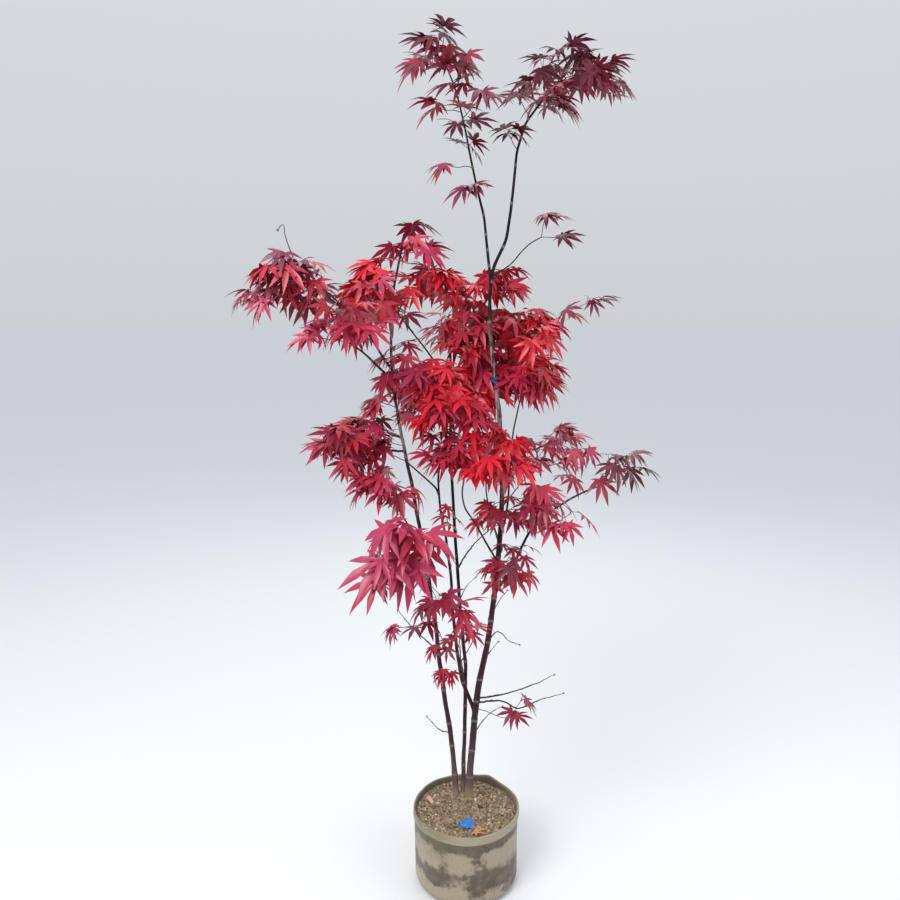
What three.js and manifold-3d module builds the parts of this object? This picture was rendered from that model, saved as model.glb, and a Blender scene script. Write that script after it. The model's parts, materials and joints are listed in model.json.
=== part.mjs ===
// A Japanese maple in a felt growing bag: a clump of slim stems that rise from one root crown,
// their main boughs, and a crown of separate masses of leaves. Millimetres, +Z up.
// The origin is the centre of the bag's flat underside, and the tree is seen from -Y.

import * as THREE from "three";
import { mergeVertices } from "three/addons/utils/BufferGeometryUtils.js";
import Module from "manifold-3d";

const wasm = await Module();
wasm.setup();

// ---------------------------------------------------------------- driving sizes

const GAP = 0.4; // clearance between neighbouring pieces
const MASS_SIDES = 13; // facets round a mass of leaves
const MASS_ROWS = 5; // and from its top to its underside
const FLARE_FALL = 22; // how far up a stem's flare dies away
const TAPER = 0.85; // below 1, a limb thins sooner near its foot than near its tip

const BAG = {
  rimRadius: 140, // outside, at the top edge
  footRadius: 137, // outside, where the wall meets the rounded bottom edge
  height: 207,
  felt: 4.5, // thickness of the felt
  bottomRound: 24, // radius of the bottom edge
  sides: 30,
};

const SOIL = {
  edge: 185, // height of the soil where it meets the felt
  top: 193, // height of the flat middle, where the root crown sits
  flatRadius: 52,
};

// The woody lump that the stems rise from: a ball sunk in the soil by a share of its height.
const ROOT_CROWN = { at: [-8, 38], half: [38, 28, 24], sunk: 0.35, sides: 18, rows: 8 };

const COLOUR = {
  felt: 0x9c8f7c,
  soil: 0x7a6650,
  root: 0x8f7866,
  bark: 0x4a2f30,
  darkBark: 0x2b1a1e,
  leaf: 0xa82838,
  darkLeaf: 0x6b1f30,
  nearLeaf: 0xab3b56,
};

// Stems and leaders: radius at the foot and at the tip, the flare of the foot, and the bends
// that the wood makes on its way up, as [x, y, z].
const STEMS = [
  {
    name: "stem_middle", foot: 9.8, tip: 2.2, flare: 0.2, sides: 10, steps: 28, colour: "bark",
    bends: [[6, 34, 190], [15, 20, 360], [26, 8, 490], [60, -10, 720], [78, -22, 900],
      [82, -28, 1060], [76, -30, 1220], [58, -30, 1360], [50, -30, 1460], [50, -30, 1530],
      [56, -30, 1580], [76, -28, 1622], [92, -25, 1666], [99, -19, 1735], [107, -10, 1815],
      [118, 0, 1880], [142, 12, 1925], [176, 22, 1968], [212, 30, 2005]],
  },
  {
    name: "stem_left", foot: 7.4, tip: 2.5, flare: 0.2, sides: 10, steps: 14, colour: "bark",
    bends: [[-26, 36, 190], [-38, 22, 370], [-56, 8, 490], [-88, -18, 770], [-112, -34, 940],
      [-150, -38, 1150], [-178, -32, 1310], [-181, -20, 1460], [-166, -6, 1590], [-154, 4, 1640]],
  },
  {
    name: "stem_back", foot: 6, tip: 3, flare: 0.15, sides: 8, steps: 10, colour: "darkBark",
    bends: [[-9, 50, 190], [-4, 52, 400], [-1, 60, 550], [-18, 72, 740], [-32, 86, 960],
      [-42, 98, 1180], [-42, 104, 1440]],
  },
  {
    name: "stem_inner", foot: 5.5, tip: 2.2, flare: 0, sides: 8, steps: 9, colour: "darkBark",
    bends: [[18, 12, 466], [-8, 28, 525], [-25, 32, 610], [-36, 30, 740], [-50, 32, 900],
      [-74, 40, 1045], [-64, 52, 1150]],
  },
  {
    name: "leader_left", foot: 3.6, tip: 1.6, flare: 0, sides: 8, steps: 10, colour: "bark",
    bends: [[50, -30, 1550], [41, -34, 1630], [34, -40, 1695], [18, -45, 1755], [0, -50, 1835],
      [-16, -50, 1910], [-32, -50, 1965], [-56, -50, 2020]],
  },
];

// Boughs: each grows out of a stem and ends in a mass of leaves.
const BOUGHS = [
  { name: "bough_right", foot: 4.4, tip: 2, steps: 9,
    bends: [[66, -12, 785], [112, -20, 860], [146, -26, 945], [196, -24, 996], [262, -20, 1040],
      [338, -20, 1072]] },
  { name: "bough_right_upright", foot: 3, tip: 1.6, steps: 7,
    bends: [[80, -22, 930], [99, 0, 1010], [106, 30, 1120], [120, 50, 1215], [138, 72, 1295]] },
  { name: "bough_elbow", foot: 3, tip: 1.6, steps: 8,
    bends: [[76, -20, 868], [48, -52, 925], [14, -82, 990], [-16, -100, 1045], [-12, -99, 1095],
      [0, -92, 1140]] },
  { name: "bough_centre", foot: 2.8, tip: 1.5, steps: 5,
    bends: [[80, -24, 915], [56, -62, 995], [42, -96, 1060], [40, -115, 1110]] },
  { name: "bough_left_low", foot: 3.6, tip: 1.8, steps: 5,
    bends: [[-177, -32, 1300], [-205, -60, 1350], [-236, -100, 1388], [-278, -140, 1420]] },
  { name: "bough_left_high", foot: 3.6, tip: 1.6, steps: 7,
    bends: [[-180, -30, 1330], [-214, -40, 1400], [-256, -52, 1460], [-306, -70, 1502],
      [-350, -80, 1535]] },
  { name: "bough_cross", foot: 2.8, tip: 1.5, steps: 6,
    bends: [[-42, 101, 1300], [-94, 82, 1378], [-142, 52, 1440], [-178, 30, 1490]] },
  { name: "bough_left_mid", foot: 2.6, tip: 1.5, steps: 5,
    bends: [[-72, 40, 1040], [-114, 20, 1085], [-160, 0, 1130], [-205, -20, 1168]] },
  { name: "bough_left_under", foot: 3, tip: 1.6, steps: 5,
    bends: [[-104, -28, 880], [-126, -60, 945], [-146, -82, 990], [-166, -100, 1030]] },
  { name: "bough_near", foot: 3, tip: 1.8, steps: 5,
    bends: [[-96, -24, 830], [-112, -100, 872], [-130, -200, 920], [-150, -275, 955]] },
  { name: "bough_wisp", foot: 2.2, tip: 1.2, steps: 6,
    bends: [[50, -30, 1490], [80, -20, 1548], [106, -10, 1598], [142, 0, 1638], [176, 0, 1656]] },
];

// Masses of leaves: centre, half sizes, how far the rim droops below the middle, and the lean
// in degrees about the front-to-back line (plus is down on the right) and about the
// left-to-right line (plus is down in front).
const MASSES = [
  // the two leaders
  { name: "crown_top_left", at: [-80, -50, 2040], half: [84, 78, 44], droop: 34, lean: [4, 6] },
  { name: "crown_top_left_side", at: [16, -88, 1954], half: [48, 46, 26], droop: 20, lean: [20, 6] },
  { name: "crown_left_upper", at: [-46, -58, 1914], half: [74, 66, 22], droop: 22, lean: [2, 8] },
  { name: "crown_left_lower", at: [-22, -44, 1816], half: [82, 60, 32], droop: 24, lean: [2, 4] },
  { name: "crown_top_right", at: [248, 34, 2034], half: [154, 112, 38], droop: 52, lean: [9, 4] },
  { name: "crown_right_tier", at: [188, 10, 1944], half: [108, 84, 22], droop: 24, lean: [4, 5] },
  { name: "crown_right_lower", at: [98, -24, 1864], half: [58, 56, 32], droop: 20, lean: [8, 0] },
  // the wisps on the right
  { name: "wisp_upper", at: [194, 0, 1674], half: [54, 44, 17], droop: 16, lean: [18, 4] },
  { name: "wisp_lower", at: [256, -20, 1488], half: [54, 44, 15], droop: 16, lean: [-14, 4] },
  // the left shoulder
  { name: "left_far", at: [-452, -118, 1566], half: [100, 78, 34], droop: 40, lean: [-30, 6] },
  { name: "left_shoulder", at: [-368, -84, 1546], half: [88, 84, 44], droop: 50, lean: [-2, 12] },
  { name: "left_low", at: [-302, -160, 1436], half: [86, 70, 32], droop: 36, lean: [-2, 8] },
  { name: "left_upper", at: [-242, -34, 1524], half: [80, 84, 42], droop: 32, lean: [-12, 10] },
  { name: "left_peak", at: [-150, 16, 1642], half: [68, 60, 36], droop: 24, lean: [4, 4] },
  { name: "left_inner", at: [-98, 58, 1548], half: [94, 80, 38], droop: 30, lean: [4, 6] },
  { name: "left_stem_spray", at: [-186, -24, 1318], half: [54, 56, 66], droop: 12, lean: [0, 0] },
  { name: "left_behind", at: [-235, 215, 1490], half: [104, 92, 36], droop: 44, lean: [-6, -10] },
  // the heart of the crown
  { name: "heart_top", at: [70, 26, 1568], half: [70, 66, 42], droop: 24, lean: [6, 4] },
  { name: "heart_upper_left", at: [-14, 46, 1436], half: [70, 66, 52], droop: 24, lean: [0, 6] },
  { name: "heart_upper_right", at: [148, 34, 1452], half: [80, 78, 54], droop: 30, lean: [6, 6] },
  { name: "heart_right", at: [158, 60, 1326], half: [78, 84, 54], droop: 30, lean: [8, 0] },
  { name: "heart_left", at: [-88, 6, 1310], half: [68, 80, 58], droop: 34, lean: [-6, 8] },
  { name: "heart_middle", at: [22, 74, 1306], half: [66, 82, 62], droop: 34, lean: [0, 6] },
  { name: "heart_under", at: [-38, -60, 1242], half: [84, 62, 34], droop: 30, lean: [2, 10] },
  { name: "heart_low", at: [0, -88, 1152], half: [74, 66, 40], droop: 34, lean: [-2, 10] },
  { name: "heart_low_right", at: [76, -128, 1138], half: [64, 56, 40], droop: 44, lean: [4, 8] },
  { name: "heart_behind_top", at: [30, 235, 1470], half: [118, 96, 38], droop: 40, lean: [4, -10] },
  { name: "heart_behind", at: [-60, 265, 1280], half: [120, 96, 40], droop: 44, lean: [-4, -12] },
  { name: "heart_behind_right", at: [150, 290, 1335], half: [100, 86, 34], droop: 40, lean: [8, -12] },
  // the middle tiers on the left
  { name: "mid_left_outer", at: [-322, -96, 1142], half: [76, 80, 40], droop: 40, lean: [-8, 8] },
  { name: "mid_left_inner", at: [-236, -24, 1164], half: [80, 84, 58], droop: 40, lean: [-2, 8] },
  { name: "mid_left_low", at: [-186, -112, 1058], half: [84, 56, 34], droop: 28, lean: [8, 8] },
  // the middle tiers on the right
  { name: "mid_right_upper", at: [234, 60, 1142], half: [98, 86, 34], droop: 32, lean: [6, 4] },
  { name: "mid_right_outer", at: [382, -16, 1102], half: [92, 74, 30], droop: 36, lean: [10, 6] },
  { name: "mid_right_inner", at: [186, -108, 1034], half: [100, 72, 34], droop: 38, lean: [-8, 10] },
  { name: "mid_right_behind", at: [205, 235, 1080], half: [110, 90, 32], droop: 38, lean: [8, -10] },
  // the low sprays
  { name: "low_right_upper", at: [132, -92, 884], half: [62, 52, 48], droop: 42, lean: [10, 4] },
  { name: "low_near_left", at: [-154, -296, 960], half: [102, 84, 50], droop: 58, lean: [-6, 10] },
  { name: "low_near", at: [-70, -214, 866], half: [62, 54, 30], droop: 30, lean: [2, 8] },
  { name: "low_left", at: [-132, -98, 743], half: [50, 42, 18], droop: 16, lean: [-4, 4] },
  { name: "low_right", at: [117, -48, 494], half: [40, 38, 38], droop: 22, lean: [4, 4] },
];

// ---------------------------------------------------------------- solids

/** A closed geometry as a solid that can be joined and cut. */
function solidOf(geometry) {
  geometry.deleteAttribute("normal");
  geometry.deleteAttribute("uv");
  const merged = mergeVertices(geometry, 1e-4);
  return new wasm.Manifold(new wasm.Mesh({
    numProp: 3,
    vertProperties: Float32Array.from(merged.attributes.position.array),
    triVerts: Uint32Array.from(merged.index.array),
  }));
}

/** A solid back as a geometry with its own normals. */
function geometryOf(solid) {
  const mesh = solid.getMesh();
  const geometry = new THREE.BufferGeometry();
  geometry.setAttribute("position", new THREE.BufferAttribute(mesh.vertProperties, 3));
  geometry.setIndex(new THREE.BufferAttribute(mesh.triVerts, 1));
  geometry.computeVertexNormals();
  return geometry;
}

/** The largest body of a solid, without the crumbs that a cut can leave. */
function mainBody(solid) {
  const bodies = solid.decompose();
  bodies.sort((a, b) => b.volume() - a.volume());
  return bodies[0];
}

/** A repeatable random number from 0 to 1 for a whole number. */
function dice(seed) {
  const wave = Math.sin(seed * 127.1 + 311.7) * 43758.5453;
  return wave - Math.floor(wave);
}

/** A limb: a cylinder whose rings follow a smooth curve through its bends and taper. To cut
 * room for it, it is grown outwards and at both ends. */
function limb({ bends, foot, tip, flare = 0, sides = 6, steps }, grow = 0) {
  const curve = new THREE.CatmullRomCurve3(bends.map((p) => new THREE.Vector3(...p)), false, "centripetal");
  const length = curve.getLength();
  const geometry = new THREE.CylinderGeometry(1, 1, 1, sides, steps, false);
  const position = geometry.attributes.position;
  const side = new THREE.Vector3();
  const out = new THREE.Vector3();
  const front = new THREE.Vector3(0, -1, 0);
  for (let i = 0; i < position.count; i++) {
    const share = position.getY(i) + 0.5;
    const along = curve.getTangentAt(share);
    side.crossVectors(front, along).normalize();
    out.crossVectors(side, along);
    const flared = 1 + flare * Math.exp((-share * length) / FLARE_FALL);
    const radius = (foot + (tip - foot) * share ** TAPER) * flared + grow;
    const point = curve.getPointAt(share)
      .addScaledVector(side, position.getX(i) * radius)
      .addScaledVector(out, position.getZ(i) * radius);
    if (grow) point.addScaledVector(along, (share < 0.5 ? -1 : 1) * (share % 1 ? 0 : grow));
    position.setXYZ(i, point.x, point.y, point.z);
  }
  return solidOf(geometry);
}

/** A mass of leaves: a flat cushion that droops at its rim. The seed picks how its lobes and
 * its wavy rim are turned, so that no two masses are alike. */
function foliage({ at, half, droop, lean }, seed, grow = 0) {
  const geometry = new THREE.SphereGeometry(1, MASS_SIDES, MASS_ROWS);
  geometry.rotateX(Math.PI / 2);
  const position = geometry.attributes.position;
  const phase = [1, 2, 3, 4].map((n) => dice(seed * 7 + n) * Math.PI * 2);
  const turn = new THREE.Euler(...[lean[1], lean[0], 0].map(THREE.MathUtils.degToRad));
  const point = new THREE.Vector3();
  for (let i = 0; i < position.count; i++) {
    point.fromBufferAttribute(position, i);
    const angle = Math.atan2(point.y, point.x);
    const rim = Math.hypot(point.x, point.y);
    const lobes = 0.12 * Math.sin(3 * angle + phase[0]) + 0.1 * Math.sin(5 * angle + phase[1]);
    const wave = 0.22 * Math.sin(2 * angle + phase[2]) + 0.16 * Math.sin(4 * angle + phase[3]);
    const reach = 1 + lobes * rim;
    point.set(
      point.x * (half[0] + grow) * reach,
      point.y * (half[1] + grow) * reach,
      point.z * (half[2] + grow) * (1 + wave * rim) + droop * (0.45 - rim * rim * (1 + wave)),
    );
    point.applyEuler(turn);
    position.setXYZ(i, point.x + at[0], point.y + at[1], point.z + at[2]);
  }
  return solidOf(geometry);
}

// ---------------------------------------------------------------- the bag and its soil

/** A solid of revolution round the vertical axis, from a profile of [radius, height]. */
function turned(profile) {
  const points = profile.map(([radius, height]) => new THREE.Vector2(radius, height));
  const geometry = new THREE.LatheGeometry(points, BAG.sides);
  geometry.rotateX(Math.PI / 2);
  return solidOf(geometry);
}

/** The rounded corner of a profile between a floor and a wall. */
function corner(radius, centreRadius, centreHeight, count = 4) {
  return Array.from({ length: count + 1 }, (_, i) => {
    const angle = (-Math.PI / 2) * (1 - i / count);
    return [centreRadius + radius * Math.cos(angle), centreHeight + radius * Math.sin(angle)];
  });
}

function bagSolid() {
  const { rimRadius, footRadius, height, felt, bottomRound } = BAG;
  const outside = corner(bottomRound, footRadius - bottomRound, bottomRound);
  const inside = corner(bottomRound - felt, footRadius - bottomRound, bottomRound).reverse();
  return turned([
    [0, 0], ...outside, [rimRadius, height - 3], [rimRadius - felt / 2, height],
    [rimRadius - felt, height - 3], ...inside, [0, felt],
  ]);
}

function soilSolid() {
  const { rimRadius, footRadius, height, felt, bottomRound } = BAG;
  const wallShare = (SOIL.edge - bottomRound) / (height - bottomRound);
  const edgeRadius = footRadius + (rimRadius - footRadius) * wallShare - felt - GAP;
  const round = corner(bottomRound - felt - GAP, footRadius - bottomRound, bottomRound);
  return turned([
    [0, felt + GAP], ...round, [edgeRadius, SOIL.edge], [SOIL.flatRadius, SOIL.top],
    [0, SOIL.top],
  ]);
}

function rootCrownSolid(grow = 0) {
  const { at, half, sunk, sides, rows } = ROOT_CROWN;
  const geometry = new THREE.SphereGeometry(1, sides, rows);
  geometry.rotateX(Math.PI / 2);
  geometry.scale(half[0] + grow, half[1] + grow, half[2] + grow);
  geometry.translate(at[0], at[1], SOIL.top - half[2] * sunk);
  return solidOf(geometry);
}

// ---------------------------------------------------------------- the tree

/** The named solids in the order they are made: what comes later is cut clear of what came before. */
const pieces = [];

/** Cuts a solid clear of the grown shapes it meets, and keeps it as a named piece. */
function place(name, colour, roughness, solid, grown) {
  const box = solid.boundingBox();
  const meets = pieces.filter((p) => [0, 1, 2].every((k) =>
    p.grownBox.min[k] <= box.max[k] && p.grownBox.max[k] >= box.min[k]));
  const clear = meets.reduce((left, p) => left.subtract(p.grown), solid);
  pieces.push({ name, colour, roughness, solid: mainBody(clear), grown, grownBox: grown.boundingBox() });
}

place("bag", COLOUR.felt, 0.95, bagSolid(), bagSolid());
place("soil", COLOUR.soil, 0.95, soilSolid(), soilSolid());

const groundLevel = SOIL.top + GAP;
place("root_crown", COLOUR.root, 0.9,
  rootCrownSolid().trimByPlane([0, 0, 1], groundLevel), rootCrownSolid(GAP));

for (const stem of STEMS) {
  const cut = limb(stem).trimByPlane([0, 0, 1], groundLevel);
  place(stem.name, COLOUR[stem.colour], 0.7, cut, limb(stem, GAP));
}

// The masses give the crown's outline, so the boughs stop at them and not the other way round.
const leafColour = { crown: "darkLeaf", wisp: "darkLeaf", low: "nearLeaf" };
MASSES.forEach((mass, seed) => {
  const colour = COLOUR[leafColour[mass.name.split("_")[0]] ?? "leaf"];
  place(mass.name, colour, 0.85, foliage(mass, seed), foliage(mass, seed, GAP * 2));
});

for (const bough of BOUGHS) {
  place(bough.name, COLOUR.bark, 0.7, limb(bough), limb(bough, GAP));
}

// ---------------------------------------------------------------- the scene graph

const tree = new THREE.Group();
tree.name = "japanese_maple";
for (const { name, colour, roughness, solid } of pieces) {
  const material = new THREE.MeshStandardMaterial({ color: colour, roughness, metalness: 0 });
  const mesh = new THREE.Mesh(geometryOf(solid), material);
  mesh.name = name;
  tree.add(mesh);
}

export default tree;
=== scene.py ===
"""A potted Japanese maple in red autumn leaf, made round the solids of its frame.

The stems, boughs, root crown, soil and bag follow their own solids. Each mass of leaves is
filled by a seeded growing rule: shoots branch from the nearest limb to the places where the
mass has leaves, and each place carries an opposite pair of leaves on stalks.
"""

import json
import math

import bmesh
import bpy
import numpy as np
from bpy.props import (
    FloatProperty,
    FloatVectorProperty,
    IntProperty,
    PointerProperty,
)
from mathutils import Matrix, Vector, noise
from mathutils.bvhtree import BVHTree

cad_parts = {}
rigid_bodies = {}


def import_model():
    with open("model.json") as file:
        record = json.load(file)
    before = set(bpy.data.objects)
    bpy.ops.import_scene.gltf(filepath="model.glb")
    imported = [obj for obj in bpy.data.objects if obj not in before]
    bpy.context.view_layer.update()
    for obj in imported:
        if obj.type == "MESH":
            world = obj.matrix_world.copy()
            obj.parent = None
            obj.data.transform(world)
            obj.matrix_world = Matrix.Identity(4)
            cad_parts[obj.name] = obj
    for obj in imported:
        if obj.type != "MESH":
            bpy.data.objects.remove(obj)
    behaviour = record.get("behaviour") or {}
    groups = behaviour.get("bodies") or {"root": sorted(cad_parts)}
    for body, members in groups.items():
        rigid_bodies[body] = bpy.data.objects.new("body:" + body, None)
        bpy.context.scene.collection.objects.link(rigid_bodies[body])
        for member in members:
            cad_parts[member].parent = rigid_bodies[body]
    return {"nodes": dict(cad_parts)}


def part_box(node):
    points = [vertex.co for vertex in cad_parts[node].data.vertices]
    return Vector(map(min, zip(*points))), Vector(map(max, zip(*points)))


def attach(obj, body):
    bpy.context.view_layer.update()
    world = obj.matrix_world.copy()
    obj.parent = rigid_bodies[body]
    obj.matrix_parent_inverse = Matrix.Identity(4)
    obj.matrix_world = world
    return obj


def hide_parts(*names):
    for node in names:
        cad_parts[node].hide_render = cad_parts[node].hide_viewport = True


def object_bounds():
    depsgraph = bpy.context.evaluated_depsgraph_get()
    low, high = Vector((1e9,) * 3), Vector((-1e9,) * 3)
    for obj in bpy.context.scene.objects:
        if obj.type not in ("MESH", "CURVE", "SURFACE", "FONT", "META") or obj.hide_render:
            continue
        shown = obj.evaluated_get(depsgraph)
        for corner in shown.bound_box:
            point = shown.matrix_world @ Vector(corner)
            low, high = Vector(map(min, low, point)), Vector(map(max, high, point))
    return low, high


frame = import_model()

bl_info = {
    "name": "Potted Japanese Maple",
    "version": (1, 0, 0),
    "blender": (4, 5, 0),
    "location": "View3D > Sidebar > Maple",
    "description": "Makes a young multi-stemmed Japanese maple in a felt growing bag",
    "category": "Add Mesh",
}

# ---------------------------------------------------------------- what the frame holds

STEMS = ["stem_middle", "stem_left", "stem_back", "stem_inner", "leader_left"]
BOUGHS = sorted(name for name in frame["nodes"] if name.startswith("bough_"))
ZONES = ("crown", "wisp", "left", "heart", "mid", "low")
MASSES = sorted(name for name in frame["nodes"] if name.split("_")[0] in ZONES)
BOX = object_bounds()
ROOT = [np.array(corner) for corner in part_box("root_crown")]

# How the leaves of each zone grow: room between leaf pairs and reach of a leaf in metres, how
# far the blades hang, from 0 level to 1 straight down, how much of a leaf's reach the places
# keep from the edge of their mass, and the mix of tints. In the mix, scarlet is a painted glow
# of light through backlit leaves, and rose is partly a painted sheen of sky on the upper faces.
HABIT = {
    "crown": dict(room=0.037, reach=0.062, hang=0.12, edge=0.50, tints="maroon wine wine plum"),
    "wisp": dict(room=0.046, reach=0.056, hang=0.22, edge=0.60, tints="maroon wine plum"),
    "left": dict(room=0.034, reach=0.061, hang=0.34, edge=0.50, tints="crimson rose ruby wine"),
    "heart": dict(room=0.028, reach=0.059, hang=0.40, edge=0.24,
                  tints="scarlet crimson scarlet ruby"),
    "mid": dict(room=0.033, reach=0.056, hang=0.32, edge=0.42, tints="crimson rose ruby wine"),
    "low": dict(room=0.040, reach=0.056, hang=0.42, edge=0.46, tints="rose ruby wine"),
}
# Masses that differ from the rest of their zone; shift moves all of their places.
SPECIAL = {
    "crown_top_left": dict(room=0.034, edge=0.66, shift=(0.014, 0, -0.014)),
    "crown_top_left_side": dict(shift=(-0.014, 0, -0.008)),
    "crown_left_upper": dict(room=0.040, edge=0.75, shift=(0.010, 0, -0.002)),
    "crown_left_lower": dict(room=0.048, edge=0.70, shift=(0.012, 0, 0.006)),
    "crown_top_right": dict(room=0.038, edge=0.92, shift=(-0.008, 0, -0.006)),
    "crown_right_tier": dict(edge=1.10, shift=(-0.022, 0, 0.002)),
    "crown_right_lower": dict(room=0.048, edge=0.80, shift=(0, 0, 0.010)),
    "wisp_upper": dict(room=0.042, edge=1.05, shift=(-0.014, 0, 0.002)),
    "wisp_lower": dict(room=0.060, edge=0.80, shift=(-0.006, 0, 0.006)),
    "left_far": dict(room=0.038, edge=0.66, shift=(0.030, 0, -0.004),
                     tints="wine crimson rose plum"),
    "left_shoulder": dict(room=0.035, shift=(0.004, 0, 0.002)),
    "left_low": dict(room=0.035, shift=(0.034, 0, 0.020)),
    "left_upper": dict(room=0.031, shift=(0.008, 0, -0.012), tints="scarlet rose crimson scarlet"),
    "left_peak": dict(room=0.030, edge=0.95, shift=(0.010, 0, -0.004)),
    "left_inner": dict(shift=(-0.004, 0, 0), tints="scarlet crimson rose"),
    "left_stem_spray": dict(shift=(0.014, 0, 0.036)),
    "heart_top": dict(room=0.033, edge=0.90, shift=(0, 0, -0.022)),
    "heart_right": dict(room=0.027, shift=(-0.018, 0, -0.004), tints="ruby crimson scarlet"),
    "heart_upper_left": dict(edge=0.40, shift=(0.012, 0, -0.014)),
    "heart_upper_right": dict(room=0.028, edge=0.40, shift=(-0.006, 0, -0.016)),
    "heart_left": dict(room=0.028, shift=(0.012, 0, 0.006)),
    "heart_middle": dict(room=0.026),
    "heart_low_right": dict(edge=0.50, shift=(-0.004, 0, 0.024)),
    "mid_left_outer": dict(shift=(0.042, 0, 0.038)),
    "mid_left_inner": dict(room=0.027, shift=(0.004, 0, 0.012)),
    "mid_left_low": dict(room=0.031, shift=(-0.002, 0, 0.022)),
    "mid_right_upper": dict(room=0.046, edge=0.56, shift=(-0.002, 0, 0.018)),
    "mid_right_outer": dict(room=0.041, edge=0.66, shift=(-0.014, 0, 0.006),
                            tints="wine maroon maroon"),
    "mid_right_inner": dict(room=0.036, shift=(-0.020, 0, 0.008), tints="ruby wine crimson"),
    "low_near_left": dict(reach=0.088, room=0.054, hang=0.46, edge=0.60,
                          shift=(0.008, 0, 0.036), tints="rose ruby rose rose"),
    "low_near": dict(reach=0.062, room=0.044, shift=(0.008, 0, -0.008), tints="rose ruby"),
    "low_right": dict(reach=0.042, room=0.042, edge=0.75, shift=(0, 0, 0.006),
                      tints="maroon wine"),
    "low_right_upper": dict(reach=0.050, room=0.037, shift=(-0.030, 0, 0.004),
                            tints="crimson wine maroon"),
    "low_left": dict(reach=0.044, room=0.050, tints="rose wine"),
}
# Sprays that grow straight from a stem below and between the masses: place, how many leaf
# pairs, how far they spread, and the tints. Metres.
SPRAYS = [
    dict(at=(-0.190, -0.020, 1.566), pairs=4, spread=0.030, reach=0.060, hang=0.3,
         tints="scarlet crimson rose"),
    dict(at=(-0.074, 0.030, 1.556), pairs=3, spread=0.028, reach=0.058, hang=0.3,
         tints="scarlet crimson"),
    dict(at=(-0.046, -0.078, 0.700), pairs=4, spread=0.034, reach=0.042, tints="ruby wine"),
    dict(at=(-0.048, -0.040, 0.590), pairs=2, spread=0.030, reach=0.036, tints="ruby crimson"),
    dict(at=(-0.044, -0.010, 0.985), pairs=3, spread=0.024, reach=0.044, tints="ruby crimson"),
    dict(at=(0.076, -0.050, 1.005), pairs=5, spread=0.036, reach=0.048, tints="crimson ruby"),
    dict(at=(0.096, -0.050, 0.930), pairs=3, spread=0.030, reach=0.042, tints="crimson wine"),
    dict(at=(0.062, -0.050, 0.830), pairs=1, spread=0.020, reach=0.040, tints="crimson wine"),
    dict(at=(0.004, -0.060, 1.745), pairs=1, spread=0.020, reach=0.056, hang=0.2,
         tints="wine plum"),
    dict(at=(-0.080, -0.060, 1.170), pairs=3, spread=0.026, reach=0.050, tints="ruby rose"),
    dict(at=(-0.074, -0.120, 0.815), pairs=2, spread=0.026, reach=0.050, tints="rose ruby"),
    dict(at=(-0.190, -0.040, 1.275), pairs=3, spread=0.030, reach=0.056, hang=0.4,
         tints="ruby crimson wine"),
    dict(at=(-0.190, -0.270, 0.905), pairs=1, spread=0.010, reach=0.070, tints="ruby"),
]
# Bare shoots: the limb and the height they leave it at, then the bends they make away from
# it, in metres: to the right, to the back and up.
BARE_SHOOTS = [
    ("stem_middle", 0.495, [(0.06, 0.0, 0.01), (0.11, 0.0, 0.025), (0.16, -0.01, 0.05),
                            (0.195, -0.01, 0.07)]),
    ("stem_middle", 0.485, [(0.065, -0.02, 0.015), (0.105, -0.03, 0.0), (0.165, -0.04, 0.03),
                            (0.215, -0.05, 0.05)]),
    ("stem_middle", 0.39, [(0.025, 0.01, 0.035), (0.05, 0.01, 0.06), (0.075, 0.01, 0.075)]),
    ("stem_left", 0.395, [(-0.03, 0.0, 0.01), (-0.06, 0.0, 0.045)]),
    ("stem_inner", 0.58, [(0.02, 0.0, 0.035), (0.04, 0.0, 0.075), (0.055, 0.0, 0.11)]),
    ("stem_middle", 0.655, [(0.025, 0.0, 0.03), (0.055, 0.0, 0.005), (0.08, 0.0, -0.005)]),
    ("stem_middle", 0.61, [(0.035, 0.02, 0.035)]),
    ("stem_left", 0.63, [(-0.035, 0.0, 0.035), (-0.07, 0.0, 0.07), (-0.1, 0.0, 0.11)]),
    ("stem_middle", 0.435, [(0.01, -0.01, 0.05), (0.015, -0.02, 0.11)]),
    ("stem_inner", 0.695, [(0.015, 0.0, 0.06), (0.035, 0.0, 0.1), (0.055, 0.0, 0.12)]),
    ("stem_middle", 0.725, [(0.02, 0.01, 0.04), (0.04, 0.01, 0.065)]),
    ("stem_middle", 1.01, [(0.03, 0.0, 0.04), (0.06, 0.0, 0.08), (0.08, 0.0, 0.115)]),
    ("stem_left", 0.83, [(-0.035, -0.01, 0.0), (-0.065, -0.01, 0.005)]),
    ("stem_back", 0.82, [(0.02, -0.04, 0.05), (0.045, -0.09, 0.1), (0.08, -0.13, 0.145),
                          (0.11, -0.15, 0.165)]),
    ("stem_back", 0.52, [(-0.01, -0.01, 0.05), (-0.015, -0.02, 0.11), (-0.015, -0.02, 0.17)]),
    ("bough_left_high", 1.47, [(-0.07, -0.02, 0.06), (-0.12, -0.035, 0.12), (-0.14, -0.04, 0.175),
                               (-0.145, -0.04, 0.2), (-0.155, -0.04, 0.19)]),
]


def srgb(code):
    """A hexadecimal colour as the three linear values that shaders take."""
    parts = [int(code[i:i + 2], 16) / 255 for i in (0, 2, 4)]
    return tuple(p / 12.92 if p <= 0.04045 else ((p + 0.055) / 1.055) ** 2.4 for p in parts)


def length(name, description, default):
    return FloatProperty(name=name, description=description, default=default, unit="LENGTH",
                         min=0.0, precision=4)


def colour(name, description, code):
    return FloatVectorProperty(name=name, description=description, default=srgb(code),
                               subtype="COLOR", size=3, min=0.0, max=1.0)


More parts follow.
